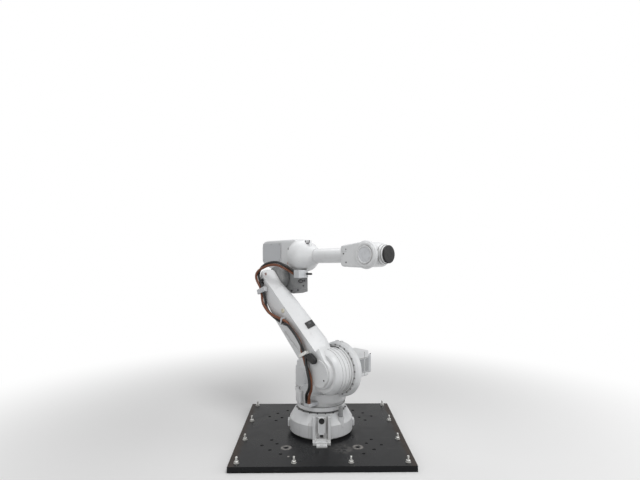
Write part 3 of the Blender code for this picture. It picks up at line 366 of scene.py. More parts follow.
@dataclass(frozen=True)
class Paint:
    """Sprayed paint with orange peel, handling marks, runs of grime, and painted shade in the corners."""

    colour: Triple
    # Colour of both the real grime and the painted shade in the corners
    grime_and_shade: Triple = (0.30, 0.285, 0.26)
    gloss: float = 0.34
    soiling_and_shade: float = 0.8

    def varying(self, tree: Tree) -> dict[str, Wire]:
        """The inputs that vary over the paint."""
        place = tree.object_place()
        broad = tree.noise(place, 2.6, 4.0)
        cloud = tree.noise(place, 11.0, 8.0, 0.6)
        runs = tree.noise(tree.object_place((38.0, 38.0, 3.2)), 1.0, 6.0)
        rubbed = tree.noise(place, 46.0, 10.0, 1.4)
        chips = tree.noise(place, 95.0, 3.0)
        low = tree.height(place).rise(0.42, 0.02)
        # Ambient occlusion darkens the paint in corners: this is painted shade, mixed below with the real
        # grime
        painted_corner_shade = tree.crevice(0.030)
        soil_and_shade = painted_corner_shade * 1.15 * cloud.rise(0.15, 0.75)
        soil_and_shade = soil_and_shade + runs.rise(0.56, 0.80) * (0.20 + low * 0.5)
        soil_and_shade = soil_and_shade + rubbed.rise(0.60, 0.74) * 0.14 + broad.rise(0.50, 0.75) * 0.07
        soil_and_shade = (soil_and_shade * self.soiling_and_shade).held()
        shade = tree.blended(self.colour, tuple(c * 0.955 for c in self.colour), cloud)
        dirt_and_shade = tree.blended(shade, self.grime_and_shade, soil_and_shade)
        chip = (chips.rise(0.735, 0.755) * rubbed.rise(0.46, 0.60)).held()
        colour = tree.blended(dirt_and_shade, (0.17, 0.165, 0.16), chip * 0.75)
        peel = tree.noise(place, 620.0, 2.0)
        cast = tree.noise(place, 140.0, 3.0)
        rough = self.gloss + soil_and_shade * 0.35 + cloud.rise(0.3, 0.8) * 0.08 + chip * 0.2
        return {
            "Base Color": colour,
            "Roughness": rough.held(),
            "Normal": tree.bump(peel * 0.6 + cast * 0.9, 0.30, 0.0006),
        }

    def material(self, name: str) -> bpy.types.Material:
        """The paint as a material."""
        sockets = {"Coat Weight": 0.18, "Coat Roughness": 0.16, "IOR": 1.5}
        return new_finish(name, sockets, self.varying)


@dataclass(frozen=True)
class CastMetal:
    """Rough cast metal with a sandy skin, lighter rubbed spots and painted shade in its corners."""

    colour: Triple
    light: Triple
    grain: float = 260.0
    rough: float = 0.58
    metal: float = 0.35

    def varying(self, tree: Tree) -> dict[str, Wire]:
        """The inputs that vary over the metal."""
        place = tree.object_place()
        sand = tree.noise(place, self.grain, 5.0)
        cloud = tree.noise(place, 14.0, 7.0, 0.8)
        rubbed = tree.noise(place, 55.0, 9.0, 1.1)
        # Ambient occlusion darkens the metal in its corners: painted shade
        painted_corner_shade = tree.crevice(0.022)
        body = tree.blended(self.colour, self.light, cloud.rise(0.35, 0.8) * 0.5)
        worn = tree.blended(body, self.light, rubbed.rise(0.58, 0.70) * 0.65)
        with_painted_shade = tree.blended(worn, (0.03, 0.029, 0.028), (painted_corner_shade * 0.9).held())
        return {
            "Base Color": with_painted_shade,
            "Roughness": (self.rough + sand * 0.2 - rubbed.rise(0.58, 0.7) * 0.12).held(),
            "Normal": tree.bump(sand + cloud * 0.5, 0.55, 0.0014),
        }

    def material(self, name: str) -> bpy.types.Material:
        """The metal as a material."""
        return new_finish(name, {"Metallic": self.metal}, self.varying)


@dataclass(frozen=True)
class PlatedSteel:
    """Zinc plated steel, blotchy and a little dull, with painted shade in its corners."""

    colour: Triple = (0.74, 0.74, 0.72)
    stain: Triple = (0.46, 0.43, 0.37)

    def varying(self, tree: Tree) -> dict[str, Wire]:
        """The inputs that vary over the steel."""
        place = tree.object_place()
        blotch = tree.noise(place, 60.0, 6.0, 0.7)
        fine = tree.noise(place, 900.0, 2.0)
        # Ambient occlusion darkens the steel in its corners: painted shade
        painted_corner_shade = tree.crevice(0.010)
        stained = tree.blended(self.colour, self.stain, (blotch.rise(0.48, 0.72) * 0.55).held())
        return {
            "Base Color": tree.blended(stained, (0.16, 0.15, 0.14), (painted_corner_shade * 0.5).held()),
            "Roughness": (0.27 + blotch * 0.25).held(),
            "Normal": tree.bump(fine, 0.2, 0.0003),
        }

    def material(self, name: str) -> bpy.types.Material:
        """The steel as a material."""
        return new_finish(name, {"Metallic": 0.75}, self.varying)


@dataclass(frozen=True)
class PlateCoat:
    """Black satin coat of the floor plate: scratches, dust, rusty side strips and two worn rings."""

    colour: Triple = (0.0060, 0.0064, 0.0075)
    bare: Triple = (0.30, 0.285, 0.27)
    rust: Triple = (0.050, 0.036, 0.028)
    half_side: float = 0.610
    strip: float = 0.060
    ring_spots: tuple[Triple, ...] = ((-0.250, -0.326, 0.0), (0.253, -0.322, 0.0))
    ring_radius: float = 0.029
    smear_spot: Triple = (0.150, -0.352, 0.0)
    chip_spot: Triple = (-0.227, -0.464, 0.0)
    chip_radius: float = 0.009

    def varying(self, tree: Tree) -> dict[str, Wire]:
        """The inputs that vary over the coat."""
        place = tree.object_place()
        cloud = tree.noise(place, 5.5, 7.0, 0.9)
        grit = tree.noise(place, 70.0, 9.0, 1.0)
        specks = tree.noise(place, 230.0, 3.0)
        along = tree.noise(tree.object_place((5.0, 120.0, 60.0)), 1.0, 5.0, 0.4)
        across = tree.noise(tree.object_place((130.0, 7.0, 60.0)), 1.0, 5.0, 0.4)
        sideways = abs(tree.node("ShaderNodeSeparateXYZ", None, {0: place}, "X"))
        edge = (sideways + (cloud - 0.5) * 0.05).rise(
            self.half_side - self.strip, self.half_side - self.strip * 0.35
        )
        facing = tree.node("ShaderNodeNewGeometry", output="Normal")
        upward = tree.height(facing).rise(0.30, 0.80)
        rust = (edge * (0.35 + grit.rise(0.35, 0.65) * 0.55) * upward).held()
        scratch = (along.rise(0.69, 0.74) + across.rise(0.70, 0.75)) * cloud.rise(0.40, 0.65)
        worn = scratch * 0.30
        for spot in self.ring_spots:
            gap = tree.gap_to(place, spot) + (grit - 0.5) * 0.008
            band = abs(gap - self.ring_radius).rise(0.013, 0.004)
            worn = worn + band * (0.25 + grit.rise(0.35, 0.6) * 0.65)
        soft = tree.noise(place, 24.0, 6.0, 0.8)
        smear = (tree.gap_to(place, self.smear_spot) + (cloud - 0.5) * 0.16).rise(0.115, 0.030)
        worn = worn + smear * soft.rise(0.42, 0.66) * 0.26
        chip = tree.gap_to(place, self.chip_spot) + (grit - 0.5) * 0.006
        worn = worn + chip.rise(self.chip_radius, self.chip_radius * 0.7) * 1.6
        worn = (worn + specks.rise(0.74, 0.78) * grit.rise(0.5, 0.6) * 0.45).held()
        dust = ((cloud.rise(0.42, 0.75) * 0.16 + 0.10 + tree.crevice(0.035) * 0.35) * upward).held()
        coated = tree.blended(self.colour, (0.12, 0.118, 0.115), dust * 0.22)
        rusty = tree.blended(coated, self.rust, rust)
        return {
            "Base Color": tree.blended(rusty, self.bare, worn),
            "Roughness": (0.17 + cloud * 0.15 + dust * 0.4 + worn * 0.2 + rust * 0.3).held(),
            "Normal": tree.bump(grit * 0.6 + specks * 0.25 + scratch * 0.4, 0.22, 0.0008),
        }

    def material(self, name: str) -> bpy.types.Material:
        """The coat as a material."""
        return new_finish(name, {"IOR": 1.30}, self.varying)


@dataclass(frozen=True)
class Jacket:
    """Rubber or a cable's jacket: scuffed, dusty and faintly pitted."""

    colour: Triple
    dusty: Triple
    rough: float = 0.42
    grain: float = 320.0

    def varying(self, tree: Tree) -> dict[str, Wire]:
        """The inputs that vary over the jacket."""
        place = tree.object_place()
        cloud = tree.noise(place, 22.0, 7.0, 0.8)
        pits = tree.noise(place, self.grain, 4.0)
        scuffs = tree.noise(tree.object_place((70.0, 70.0, 22.0)), 1.0, 6.0, 0.5)
        dust = (cloud.rise(0.45, 0.75) * 0.35 + scuffs.rise(0.58, 0.72) * 0.40).held()
        return {
            "Base Color": tree.blended(self.colour, self.dusty, dust),
            "Roughness": (self.rough + dust * 0.3 + pits * 0.08).held(),
            "Normal": tree.bump(pits + scuffs * 0.4, 0.30, 0.0006),
        }

    def material(self, name: str) -> bpy.types.Material:
        """The jacket as a material."""
        return new_finish(name, {"IOR": 1.48}, self.varying)


FINISHES: dict[Slot, Any] = {
    Slot.PLATE: PlateCoat(),
    Slot.WHITE: Paint((0.745, 0.755, 0.765)),
    Slot.GREY: Paint((0.56, 0.575, 0.595), grime_and_shade=(0.22, 0.21, 0.20), gloss=0.40),
    Slot.CASTING: CastMetal((0.29, 0.295, 0.30), (0.52, 0.52, 0.515), metal=0.15),
    Slot.ZINC: PlatedSteel(),
    Slot.RUBBER: Jacket((0.010, 0.010, 0.011), (0.048, 0.046, 0.044), rough=0.46),
    Slot.FLANGE: CastMetal((0.009, 0.009, 0.010), (0.024, 0.023, 0.022), rough=0.50, metal=0.1),
    Slot.BROWN: Jacket((0.150, 0.046, 0.018), (0.255, 0.112, 0.058), rough=0.33),
    Slot.BLACK: Jacket((0.009, 0.009, 0.009), (0.042, 0.039, 0.037), rough=0.33),
}


@dataclass(frozen=True)
class Mark:
    """A small local finish that is no slot of its own."""

    name: str
    colour: Triple
    rough: float = 0.5
    metal: float = 0.0

    def material(self) -> bpy.types.Material:
        """The mark as a material, made once."""
        found = bpy.data.materials.get(self.name)
        if found:
            return found

        def varying(tree: Tree) -> dict[str, Wire]:
            """The inputs that vary over the mark."""
            place = tree.object_place()
            cloud = tree.noise(place, 30.0, 7.0, 0.5)
            faded = tuple(c * 0.86 + 0.01 for c in self.colour)
            return {
                "Base Color": tree.blended(self.colour, faded, cloud.rise(0.40, 0.65)),
                "Roughness": (self.rough + cloud * 0.15).held(),
                "Normal": tree.bump(cloud, 0.25, 0.0005),
            }

        return new_finish(self.name, {"Metallic": self.metal}, varying)


SHADOW_GAP = Mark("shadow_gap", (0.035, 0.034, 0.033), 0.7)
SEAM_GREY = Mark("seam_grey", (0.19, 0.19, 0.19), 0.6)
PAD_GREY = Mark("pad_grey", (0.075, 0.075, 0.078), 0.5)
SOFT_SEAM = Mark("soft_seam", (0.42, 0.42, 0.42), 0.6)
MOTOR_PANEL = Mark("motor_panel", (0.36, 0.37, 0.38), 0.45)
CREAM_BOSS = Mark("cream_boss", (0.66, 0.62, 0.50), 0.45)
PALE_DISC = Mark("pale_disc", (0.68, 0.695, 0.72), 0.42)
STEEL_GREY = Mark("steel_grey", (0.30, 0.30, 0.30), 0.38, 0.6)
# Pink tint; on the elbow boss it is a painted reflection of the brown cable beside it
PINK_BOSS = Mark("pink_boss", (0.52, 0.36, 0.33), 0.5)
DARK_SCREW = Mark("dark_screw", (0.10, 0.10, 0.105), 0.42, 0.7)
BRIGHT_SCREW = Mark("bright_screw", (0.50, 0.50, 0.49), 0.32, 0.85)


class Form:
    """A mesh in the making."""

    def __init__(self) -> None:
        """Starts with no faces."""
        self.mesh = bmesh.new()

    def turned(
        self,
        place: Matrix,
        profile: Sequence[Pair],
        steps: int = 96,
        hexed: Sequence[int] = (),
    ) -> Form:
        """Turns a profile about the place's Z axis and closes it where it meets no axis.

        Args:
            place: the axes it is turned in.
            profile: (radius, height) points, the closed outline of one side of the section.
            steps: faces around.
            hexed: numbers of the profile's points that follow a hexagon.

        Returns:
            The form itself.
        """
        rings = []
        for number, (radius, high) in enumerate(profile):
            if radius < 1e-6:
                rings.append([self.mesh.verts.new(place @ Vector((0.0, 0.0, high)))])
                continue
            ring = []
            for step in range(steps):
                angle = 2.0 * math.pi * step / steps
                out = radius
                if number in hexed:
                    part = angle % (math.pi / 3.0) - math.pi / 6.0
                    out = radius * math.cos(math.pi / 6.0) / math.cos(part)
                spot = Vector((out * math.cos(angle), out * math.sin(angle), high))
                ring.append(self.mesh.verts.new(place @ spot))
            rings.append(ring)
        on_axis = profile[0][0] < 1e-6 and profile[-1][0] < 1e-6
        pairs = list(zip(rings, rings[1:]))
        if not on_axis:
            pairs.append((rings[-1], rings[0]))
        for first, second in pairs:
            self._band(first, second, steps)
        return self

    def _band(self, first: list[Any], second: list[Any], steps: int) -> None:
        """Joins two rings, either of which may be a single point."""
        for step in range(steps):
            after = (step + 1) % steps
            if len(first) == 1 and len(second) == 1:
                return
            if len(first) == 1:
                self.mesh.faces.new((first[0], second[after], second[step]))
            elif len(second) == 1:
                self.mesh.faces.new((first[step], first[after], second[0]))
            else:
                self.mesh.faces.new((first[step], first[after], second[after], second[step]))

    def slab(self, place: Matrix, outline: Sequence[Pair], low: float, high: float) -> Form:
        """Stands a flat outline up along the place's Z axis.

        Args:
            place: the axes it is made in.
            outline: (x, y) corners.
            low: lower end.
            high: upper end.

        Returns:
            The form itself.
        """
        bottom = [self.mesh.verts.new(place @ Vector((x, y, low))) for x, y in outline]
        top = [self.mesh.verts.new(place @ Vector((x, y, high))) for x, y in outline]
        self.mesh.faces.new(list(reversed(bottom)))
        self.mesh.faces.new(top)
        for step in range(len(outline)):
            after = (step + 1) % len(outline)
            self.mesh.faces.new((bottom[step], bottom[after], top[after], top[step]))
        return self

    def block(self, place: Matrix, low: Triple, high: Triple) -> Form:
        """A block between two corners.

        Args:
            place: the axes it is made in.
            low: its lowest corner.
            high: its highest corner.

        Returns:
            The form itself.
        """
        outline = [(low[0], low[1]), (high[0], low[1]), (high[0], high[1]), (low[0], high[1])]
        return self.slab(place, outline, low[2], high[2])

    def swept(self, line: Sequence[Vector], radius: float, sides: int = 20) -> Form:
        """Sweeps a round section along a line and closes both ends.

        Args:
            line: points in the row frame.
            radius: the section's radius.
            sides: faces around.

        Returns:
            The form itself.
        """
        aim = (line[1] - line[0]).normalized()
        across = aim.orthogonal().normalized()
        rings = []
        for number, point in enumerate(line):
            before = line[max(number - 1, 0)]
            after = line[min(number + 1, len(line) - 1)]
            ahead = (after - before).normalized()
            across = (across - ahead * across.dot(ahead)).normalized()
            other = ahead.cross(across)
            ring = []
            for side in range(sides):
                angle = 2.0 * math.pi * side / sides
                out = across * math.cos(angle) + other * math.sin(angle)
                ring.append(self.mesh.verts.new(point + out * radius))
            rings.append(ring)
        for first, second in zip(rings, rings[1:]):
            self._band(first, second, sides)
        self.mesh.faces.new(rings[0])
        self.mesh.faces.new(list(reversed(rings[-1])))
        return self

    def object(self, name: str, bevel: float = 0.0, sharp: float = 32.0) -> bpy.types.Object:
        """Ends the form as an object at the origin.

        Args:
            name: the object's name.
            bevel: width of the rounded edges.
            sharp: angle in degrees past which an edge stays sharp or is rounded.

        Returns:
            The object.
        """
        bmesh.ops.recalc_face_normals(self.mesh, faces=self.mesh.faces)
        if bevel > 0.0:
            round_edges(self.mesh, bevel, sharp)
        mesh = bpy.data.meshes.new(name)
        self.mesh.to_mesh(mesh)
        self.mesh.free()
        return dressed_object(mesh, name, sharp)


def round_edges(mesh: Any, width: float, sharp: float) -> None:
    """Rounds the sharp edges of a bmesh.

    Args:
        mesh: the bmesh.
        width: the rounding's width.
        sharp: angle in degrees from which an edge counts as sharp.
    """
    limit = math.radians(sharp)
    edges = [e for e in mesh.edges if len(e.link_faces) == 2 and e.calc_face_angle(0.0) > limit]
    bmesh.ops.bevel(
        mesh, geom=edges, offset=width, segments=2, profile=0.6, affect="EDGES", clamp_overlap=True
    )


def dressed_object(mesh: bpy.types.Mesh, name: str, sharp: float) -> bpy.types.Object:
    """Links a mesh into the scene with smooth shading.

    Args:
        mesh: the mesh.
        name: the object's name.
        sharp: angle in degrees past which an edge stays sharp.

    Returns:
        The object.
    """
    mesh.polygons.foreach_set("use_smooth", [True] * len(mesh.polygons))
    mesh.set_sharp_from_angle(angle=math.radians(sharp))
    made = bpy.data.objects.new(name, mesh)
    bpy.context.scene.collection.objects.link(made)
    even = made.modifiers.new("even_shading", "WEIGHTED_NORMAL")
    even.keep_sharp = True
    return made


def rounded_outline(low: Pair, high: Pair, radius: float) -> list[Pair]:
    """A rectangle with round corners.

    Args:
        low: its lowest corner.
        high: its highest corner.
        radius: the corners' radius.

    Returns:
        The outline's points.
    """
    found = []
    middles = (
        (high[0] - radius, high[1] - radius),
        (low[0] + radius, high[1] - radius),
        (low[0] + radius, low[1] + radius),
        (high[0] - radius, low[1] + radius),
    )
    for quarter, (x, y) in enumerate(middles):
        for step in range(7):
            angle = math.radians(90.0 * quarter + 15.0 * step)
            found.append((x + radius * math.cos(angle), y + radius * math.sin(angle)))
    return found


def disc(radius: float, low: float, high: float, inset: float = 0.0, drop: float = 0.0) -> list[Pair]:
    """The section of a round disc, with a slanted rim if asked.

    Args:
        radius: its radius.
        low: its lower end.
        high: its upper end.
        inset: how far the rim slants inwards.
        drop: how far the rim slants down.

    Returns:
        The section's points.
    """
    rim = [(radius, high - drop), (radius - inset, high)] if inset > 0.0 else [(radius, high)]
    return [(0.0, low), (radius, low), *rim, (0.0, high)]


def hoop(inner: float, outer: float, low: float, high: float) -> list[Pair]:
    """The square section of a flat ring.

    Args:
        inner: its inner radius.
        outer: its outer radius.
        low: its lower end.
        high: its upper end.

    Returns:
        The section's points.
    """
    return [(inner, low), (outer, low), (outer, high), (inner, high)]


def socket_screw(radius: float, high: float) -> Form:
    """A cap screw's head with its hexagon socket, on the ground at the origin.

    Args:
        radius: the head's radius.
        high: the head's height.

    Returns:
        The form.
    """
    key = radius * 0.52
    profile = [
        (0.0, -high * 0.2),
        (radius, -high * 0.2),
        (radius, high * 0.82),
        (radius * 0.86, high),
        (key, high),
        (key, high * 0.45),
        (0.0, high * 0.45),
    ]
    return Form().turned(FLOOR, profile, 12, hexed=(4, 5))


def anchor_stud() -> Form:
    """A floor anchor: washer, hexagon nut and the end of its stud.

    Returns:
        The form.
    """
    form = Form()
    form.turned(FLOOR, [(0.0, -0.002), (0.0175, -0.002), (0.0175, 0.003), (0.0, 0.003)], 24)
    nut = [(0.0, 0.003), (0.0150, 0.003), (0.0150, 0.0135), (0.0122, 0.0155), (0.0, 0.0155)]
    form.turned(FLOOR, nut, 12, hexed=(1, 2))
    stud = [(0.0, 0.014), (0.0072, 0.014), (0.0072, 0.0405), (0.0056, 0.0425), (0.0, 0.0425)]
    form.turned(FLOOR, stud, 12)
    return form


class Scatter:
    """Copies of one fastener on marked spots, through Geometry Nodes."""

    def __init__(self) -> None:
        """Builds the tree that all fasteners share."""
        self.group = bpy.data.node_groups.new("fasteners_on_spots", "GeometryNodeTree")
        face = self.group.interface
        face.new_socket("Geometry", in_out="INPUT", socket_type="NodeSocketGeometry")
        self.ids = {
            name: face.new_socket(name, in_out="INPUT", socket_type=kind).identifier
            for name, kind in (
                ("Fastener", "NodeSocketObject"),
                ("Size", "NodeSocketFloat"),
                ("Seed", "NodeSocketInt"),
                ("Finish", "NodeSocketMaterial"),
            )
        }
        face.new_socket("Geometry", in_out="OUTPUT", socket_type="NodeSocketGeometry")
        tree = Tree(self.group)
        spots = tree.node("NodeGroupInput", output="Geometry")
        source = spots.socket.node
        inputs = {name: Wire(tree, source.outputs[name]) for name in self.ids}
        shape = tree.node(
            "GeometryNodeObjectInfo", None, {"Object": inputs["Fastener"]}, "Geometry"
        )
        aim = tree.node("GeometryNodeInputNamedAttribute", {"data_type": "FLOAT_VECTOR"}, {"Name": "aim"})
        upright = tree.node("FunctionNodeAlignRotationToVector", {"axis": "Z"}, {"Vector": aim})
        turn = tree.node(
            "FunctionNodeRandomValue",
            {"data_type": "FLOAT"},
            {2: 0.0, 3: 2.0 * math.pi, "Seed": inputs["Seed"]},
            1,
        )
        spun = tree.node(
            "FunctionNodeAxisAngleToRotation", None, {"Axis": (0.0, 0.0, 1.0), "Angle": turn}
        )
        way = tree.node(
            "FunctionNodeRotateRotation",
            {"rotation_space": "LOCAL"},
            {"Rotation": upright, "Rotate By": spun},
        )
        copies = tree.node(
            "GeometryNodeInstanceOnPoints",
            None,
            {"Points": spots, "Instance": shape, "Rotation": way, "Scale": inputs["Size"]},
        )
        solid = tree.node("GeometryNodeRealizeInstances", None, {0: copies})
        coated = tree.node(
            "GeometryNodeSetMaterial", None, {"Geometry": solid, "Material": inputs["Finish"]}
        )
        tree.node("NodeGroupOutput", None, {0: coated})

    def build(
        self,
        name: str,
        form: Form,
        spots: Sequence[Spot],
        finish: bpy.types.Material,
        seed: int,
    ) -> bpy.types.Object:
        """Makes one plain mesh of the fastener on all its spots.

        Args:
            name: the result's name.
            form: the fastener, upright at the origin.
            spots: each spot with the direction the fastener's top points in.
            finish: the material.
            seed: fixes how each fastener is turned.

        Returns:
            The object.
        """
        pattern = form.object(name + "_pattern")
        mesh = bpy.data.meshes.new(name + "_spots")
        mesh.from_pydata([tuple(point) for point, _ in spots], [], [])
        aims = mesh.attributes.new("aim", "FLOAT_VECTOR", "POINT")
        aims.data.foreach_set("vector", [value for _, aim in spots for value in aim])
        carrier = bpy.data.objects.new(name + "_spots", mesh)
        bpy.context.scene.collection.objects.link(carrier)
        modifier = carrier.modifiers.new("fasteners", "NODES")
        modifier.node_group = self.group
        values = {"Fastener": pattern, "Size": 1.0, "Seed": seed, "Finish": finish}
        for label, value in values.items():
            modifier[self.ids[label]] = value
        bpy.context.view_layer.update()
        graph = bpy.context.evaluated_depsgraph_get()
        made = bpy.data.meshes.new_from_object(carrier.evaluated_get(graph))
        made.name = name
        carrier.modifiers.remove(modifier)
        bpy.data.objects.remove(carrier)
        bpy.data.objects.remove(pattern)
        result = bpy.data.objects.new(name, made)
        bpy.context.scene.collection.objects.link(result)
        return result


def ring_spots(place: Matrix, radius: float, high: float, count: int, first: float) -> list[Spot]:
    """Spots on a circle about the place's Z axis, facing along it.

    Args:
        place: the axes.
        radius: the circle's radius.
        high: its height.
        count: number of spots.
        first: first spot's angle in degrees.

    Returns:
        The spots with their directions.
    """
    aim = (place.to_3x3() @ Vector((0.0, 0.0, 1.0))).normalized()
    found = []
    for number in range(count):
        angle = math.radians(first + 360.0 / count * number)
        spot = Vector((radius * math.cos(angle), radius * math.sin(angle), high))
        found.append((place @ spot, aim))
    return found


def grid_spots(place: Matrix, points: Sequence[Pair], high: float) -> list[Spot]:
    """Spots at given places on a flat face, facing along the place's Z axis.

    Args:
        place: the axes.
        points: (x, y) places.
        high: the face's height.

    Returns:
        The spots with their directions.
    """
    aim = (place.to_3x3() @ Vector((0.0, 0.0, 1.0))).normalized()
    return [(place @ Vector((x, y, high)), aim) for x, y in points]


class Workshop:
    """Keeps the frame's nodes and the finishes, and sets finished pieces on their bodies."""

    def __init__(self, frame: dict[str, Any]) -> None:
        """Takes the loaded frame and mixes the finishes."""
        self.nodes = frame["nodes"]
        self.coats = {slot: finish.material(slot.value) for slot, finish in FINISHES.items()}
        self.scatter = Scatter()

    def coat(self, finish: Slot | Mark) -> bpy.types.Material:
        """The material of a slot or of a mark."""
        return self.coats[finish] if isinstance(finish, Slot) else finish.material()

    def set_on(
        self,
        piece: bpy.types.Object,
        body: Body,
        finish: Slot | Mark,
        stands_for: Sequence[str] = (),
    ) -> bpy.types.Object:
        """Coats a piece and lets it ride its body.

        Args:
            piece: the object.
            body: the body it rides.
            finish: one of the record's finishes, or a local one.
            stands_for: frame nodes that it replaces.

        Returns:
            The piece.
        """
        piece.data.materials.clear()
        piece.data.materials.append(self.coat(finish))
        if stands_for:
            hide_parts(*stands_for)
        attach(piece, body.value)
        LOG.info("%s on %s, %d faces", piece.name, body.value, len(piece.data.polygons))
        return piece

    def fit(
        self,
        form: Form,
        name: str,
        body: Body,
        finish: Slot | Mark,
        bevel: float = 0.0,
        sharp: float = 32.0,
        stands_for: Sequence[str] = (),
    ) -> bpy.types.Object:
        """Ends a form as a piece, coats it and lets it ride its body.

        Args:
            form: the form.
            name: the piece's name.
            body: the body it rides.
            finish: one of the record's finishes, or a local one.
            bevel: width of the rounded edges.
            sharp: angle in degrees past which an edge stays sharp or is rounded.
            stands_for: frame nodes that it replaces.

        Returns:
            The piece.
        """
        return self.set_on(form.object(name, bevel, sharp), body, finish, stands_for)

    def skin(
        self, node: str, body: Body, slot: Slot, width: float, sharp: float = 34.0
    ) -> bpy.types.Object:
        """Stands a smooth copy with rounded edges in for a frame node.

        Args:
            node: the frame node.
            body: its body.
            slot: its finish.
            width: width of the rounded edges.
            sharp: angle in degrees from which an edge is rounded.

        Returns:
            The copy.
        """
        for share in (1.0, 0.5, 0.0):
            mesh = bmesh.new()
            mesh.from_mesh(self.nodes[node].data)
            bmesh.ops.remove_doubles(mesh, verts=mesh.verts, dist=0.00002)
            bmesh.ops.dissolve_limit(
                mesh, verts=mesh.verts, edges=mesh.edges, angle_limit=math.radians(0.4)
            )
            before = mesh.calc_volume()
            low_before = min(v.co.z for v in mesh.verts)
            if share > 0.0:
                round_edges(mesh, width * share, sharp)
            open_edges = sum(1 for e in mesh.edges if len(e.link_faces) != 2)
            change = abs(mesh.calc_volume() / before - 1.0) if before else 0.0
            sound = change < 0.03 and min(v.co.z for v in mesh.verts) > low_before - 0.001
            if share == 0.0 or (sound and open_edges == 0):
                break
            mesh.free()
        LOG.info("%s: edges %.1f mm, volume change %.3f", node, width * share * 1000.0, change)
        bmesh.ops.triangulate(mesh, faces=[f for f in mesh.faces if len(f.verts) > 4])
        copied = bpy.data.meshes.new(node + "_skin")
        mesh.to_mesh(copied)
        mesh.free()
        return self.set_on(dressed_object(copied, node + "_skin", sharp), body, slot, (node,))

    def skins(self, body: Body, rows: Sequence[tuple[str, Slot, float]]) -> None:
        """Stands copies in for several nodes of one body.

        Args:
            body: the body.
            rows: each node with its finish and the width of its rounded edges.
        """
        for node, slot, width in rows:
            self.skin(node, body, slot, width)

    def fasten(
        self,
        name: str,
        body: Body,
        form: Form,
        spots: Sequence[Spot],
        finish: Slot | Mark,
        seed: int,
    ) -> bpy.types.Object:
        """Scatters fasteners and lets them ride a body.

        Args:
            name: the piece's name.
            body: its body.
            form: the fastener.
            spots: where they sit.
            finish: one of the record's finishes, or a local one.
            seed: fixes how each one is turned.

        Returns:
            The piece.
        """
        piece = self.scatter.build(name, form, spots, self.coat(finish), seed)
        return self.set_on(piece, body, finish)


@dataclass
class FloorPlate:
    """The black steel plate with its drilled holes and floor anchors."""

    side: float = 1.220
    thickness: float = PLATE_THICKNESS
    edge: float = 0.0018
    anchor_reach: float = 0.558
    anchor_shares: tuple[float, ...] = (-1.0, -1.0 / 3.0, 1.0 / 3.0, 1.0)
    outer_radius: float = 0.511
    outer_angles: tuple[float, ...] = (34.0, 45.0, 56.5)
    inner_radius: float = 0.411
    inner_angles: tuple[float, ...] = (28.0, 39.0, 52.5)
    hole_radius: float = 0.0112
    hole_depth: float = 0.034
    hole_rim: Pair = (0.0018, 0.0016)

    def hole_places(self) -> list[Pair]:
        """The holes' places, the same in each quarter."""
        found = []
        for radius, angles in (
            (self.outer_radius, self.outer_angles),
            (self.inner_radius, self.inner_angles),
        ):
            for angle in angles:
                along = radius * math.cos(math.radians(angle))
                across = radius * math.sin(math.radians(angle))
                found += [(along, across), (-along, across), (-along, -across), (along, -across)]
        return found

    def drill(self) -> bpy.types.Object:
        """What the holes take off the plate."""
        cutter = Form()
        over = self.thickness + 0.001
        rim_width, rim_depth = self.hole_rim
        for x, y in self.hole_places():
            profile = [
                (0.0, self.thickness - self.hole_depth),
                (self.hole_radius, self.thickness - self.hole_depth),
                (self.hole_radius, self.thickness - rim_depth),
                (self.hole_radius + rim_width, self.thickness),
                (self.hole_radius + rim_width, over),
                (0.0, over),
            ]
            cutter.turned(Matrix.Translation((x, y, 0.0)), profile, 28)
        drill = cutter.object("drill")
        drill.modifiers.clear()
        return drill

    def build_plate(self, shop: Workshop) -> None:
        """Builds the drilled plate."""
        half = self.side / 2.0
        plate = Form().block(FLOOR, (-half, -half, 0.0), (half, half, self.thickness))
        plate = plate.object("floor_plate", bevel=self.edge)
        drill = self.drill()
        cut = plate.modifiers.new("holes", "BOOLEAN")
        cut.operation = "DIFFERENCE"
        cut.solver = "EXACT"
        cut.object = drill
        plate.modifiers.move(1, 0)
        bpy.context.view_layer.update()
        graph = bpy.context.evaluated_depsgraph_get()
        drilled = bpy.data.meshes.new_from_object(plate.evaluated_get(graph))
        plate.modifiers.clear()
        plate.data = drilled
        bpy.data.objects.remove(drill)
        drilled.set_sharp_from_angle(angle=math.radians(32.0))
        shop.set_on(plate, Body.BASE, Slot.PLATE, ("mounting_plate",))

    def build_anchors(self, shop: Workshop) -> None:
        """Builds the twelve anchors round the plate's edge."""
        steps = [self.anchor_reach * share for share in self.anchor_shares]
        edge = self.anchor_reach - 0.001
        places = [(x, y) for x in steps for y in steps if max(abs(x), abs(y)) > edge]
        spots = grid_spots(FLOOR, places, self.thickness)
        shop.fasten("floor_anchors", Body.BASE, anchor_stud(), spots, Slot.ZINC, 4)

    def build(self, shop: Workshop) -> None:
        """Builds the plate and its anchors."""
        self.build_plate(shop)
        self.build_anchors(shop)


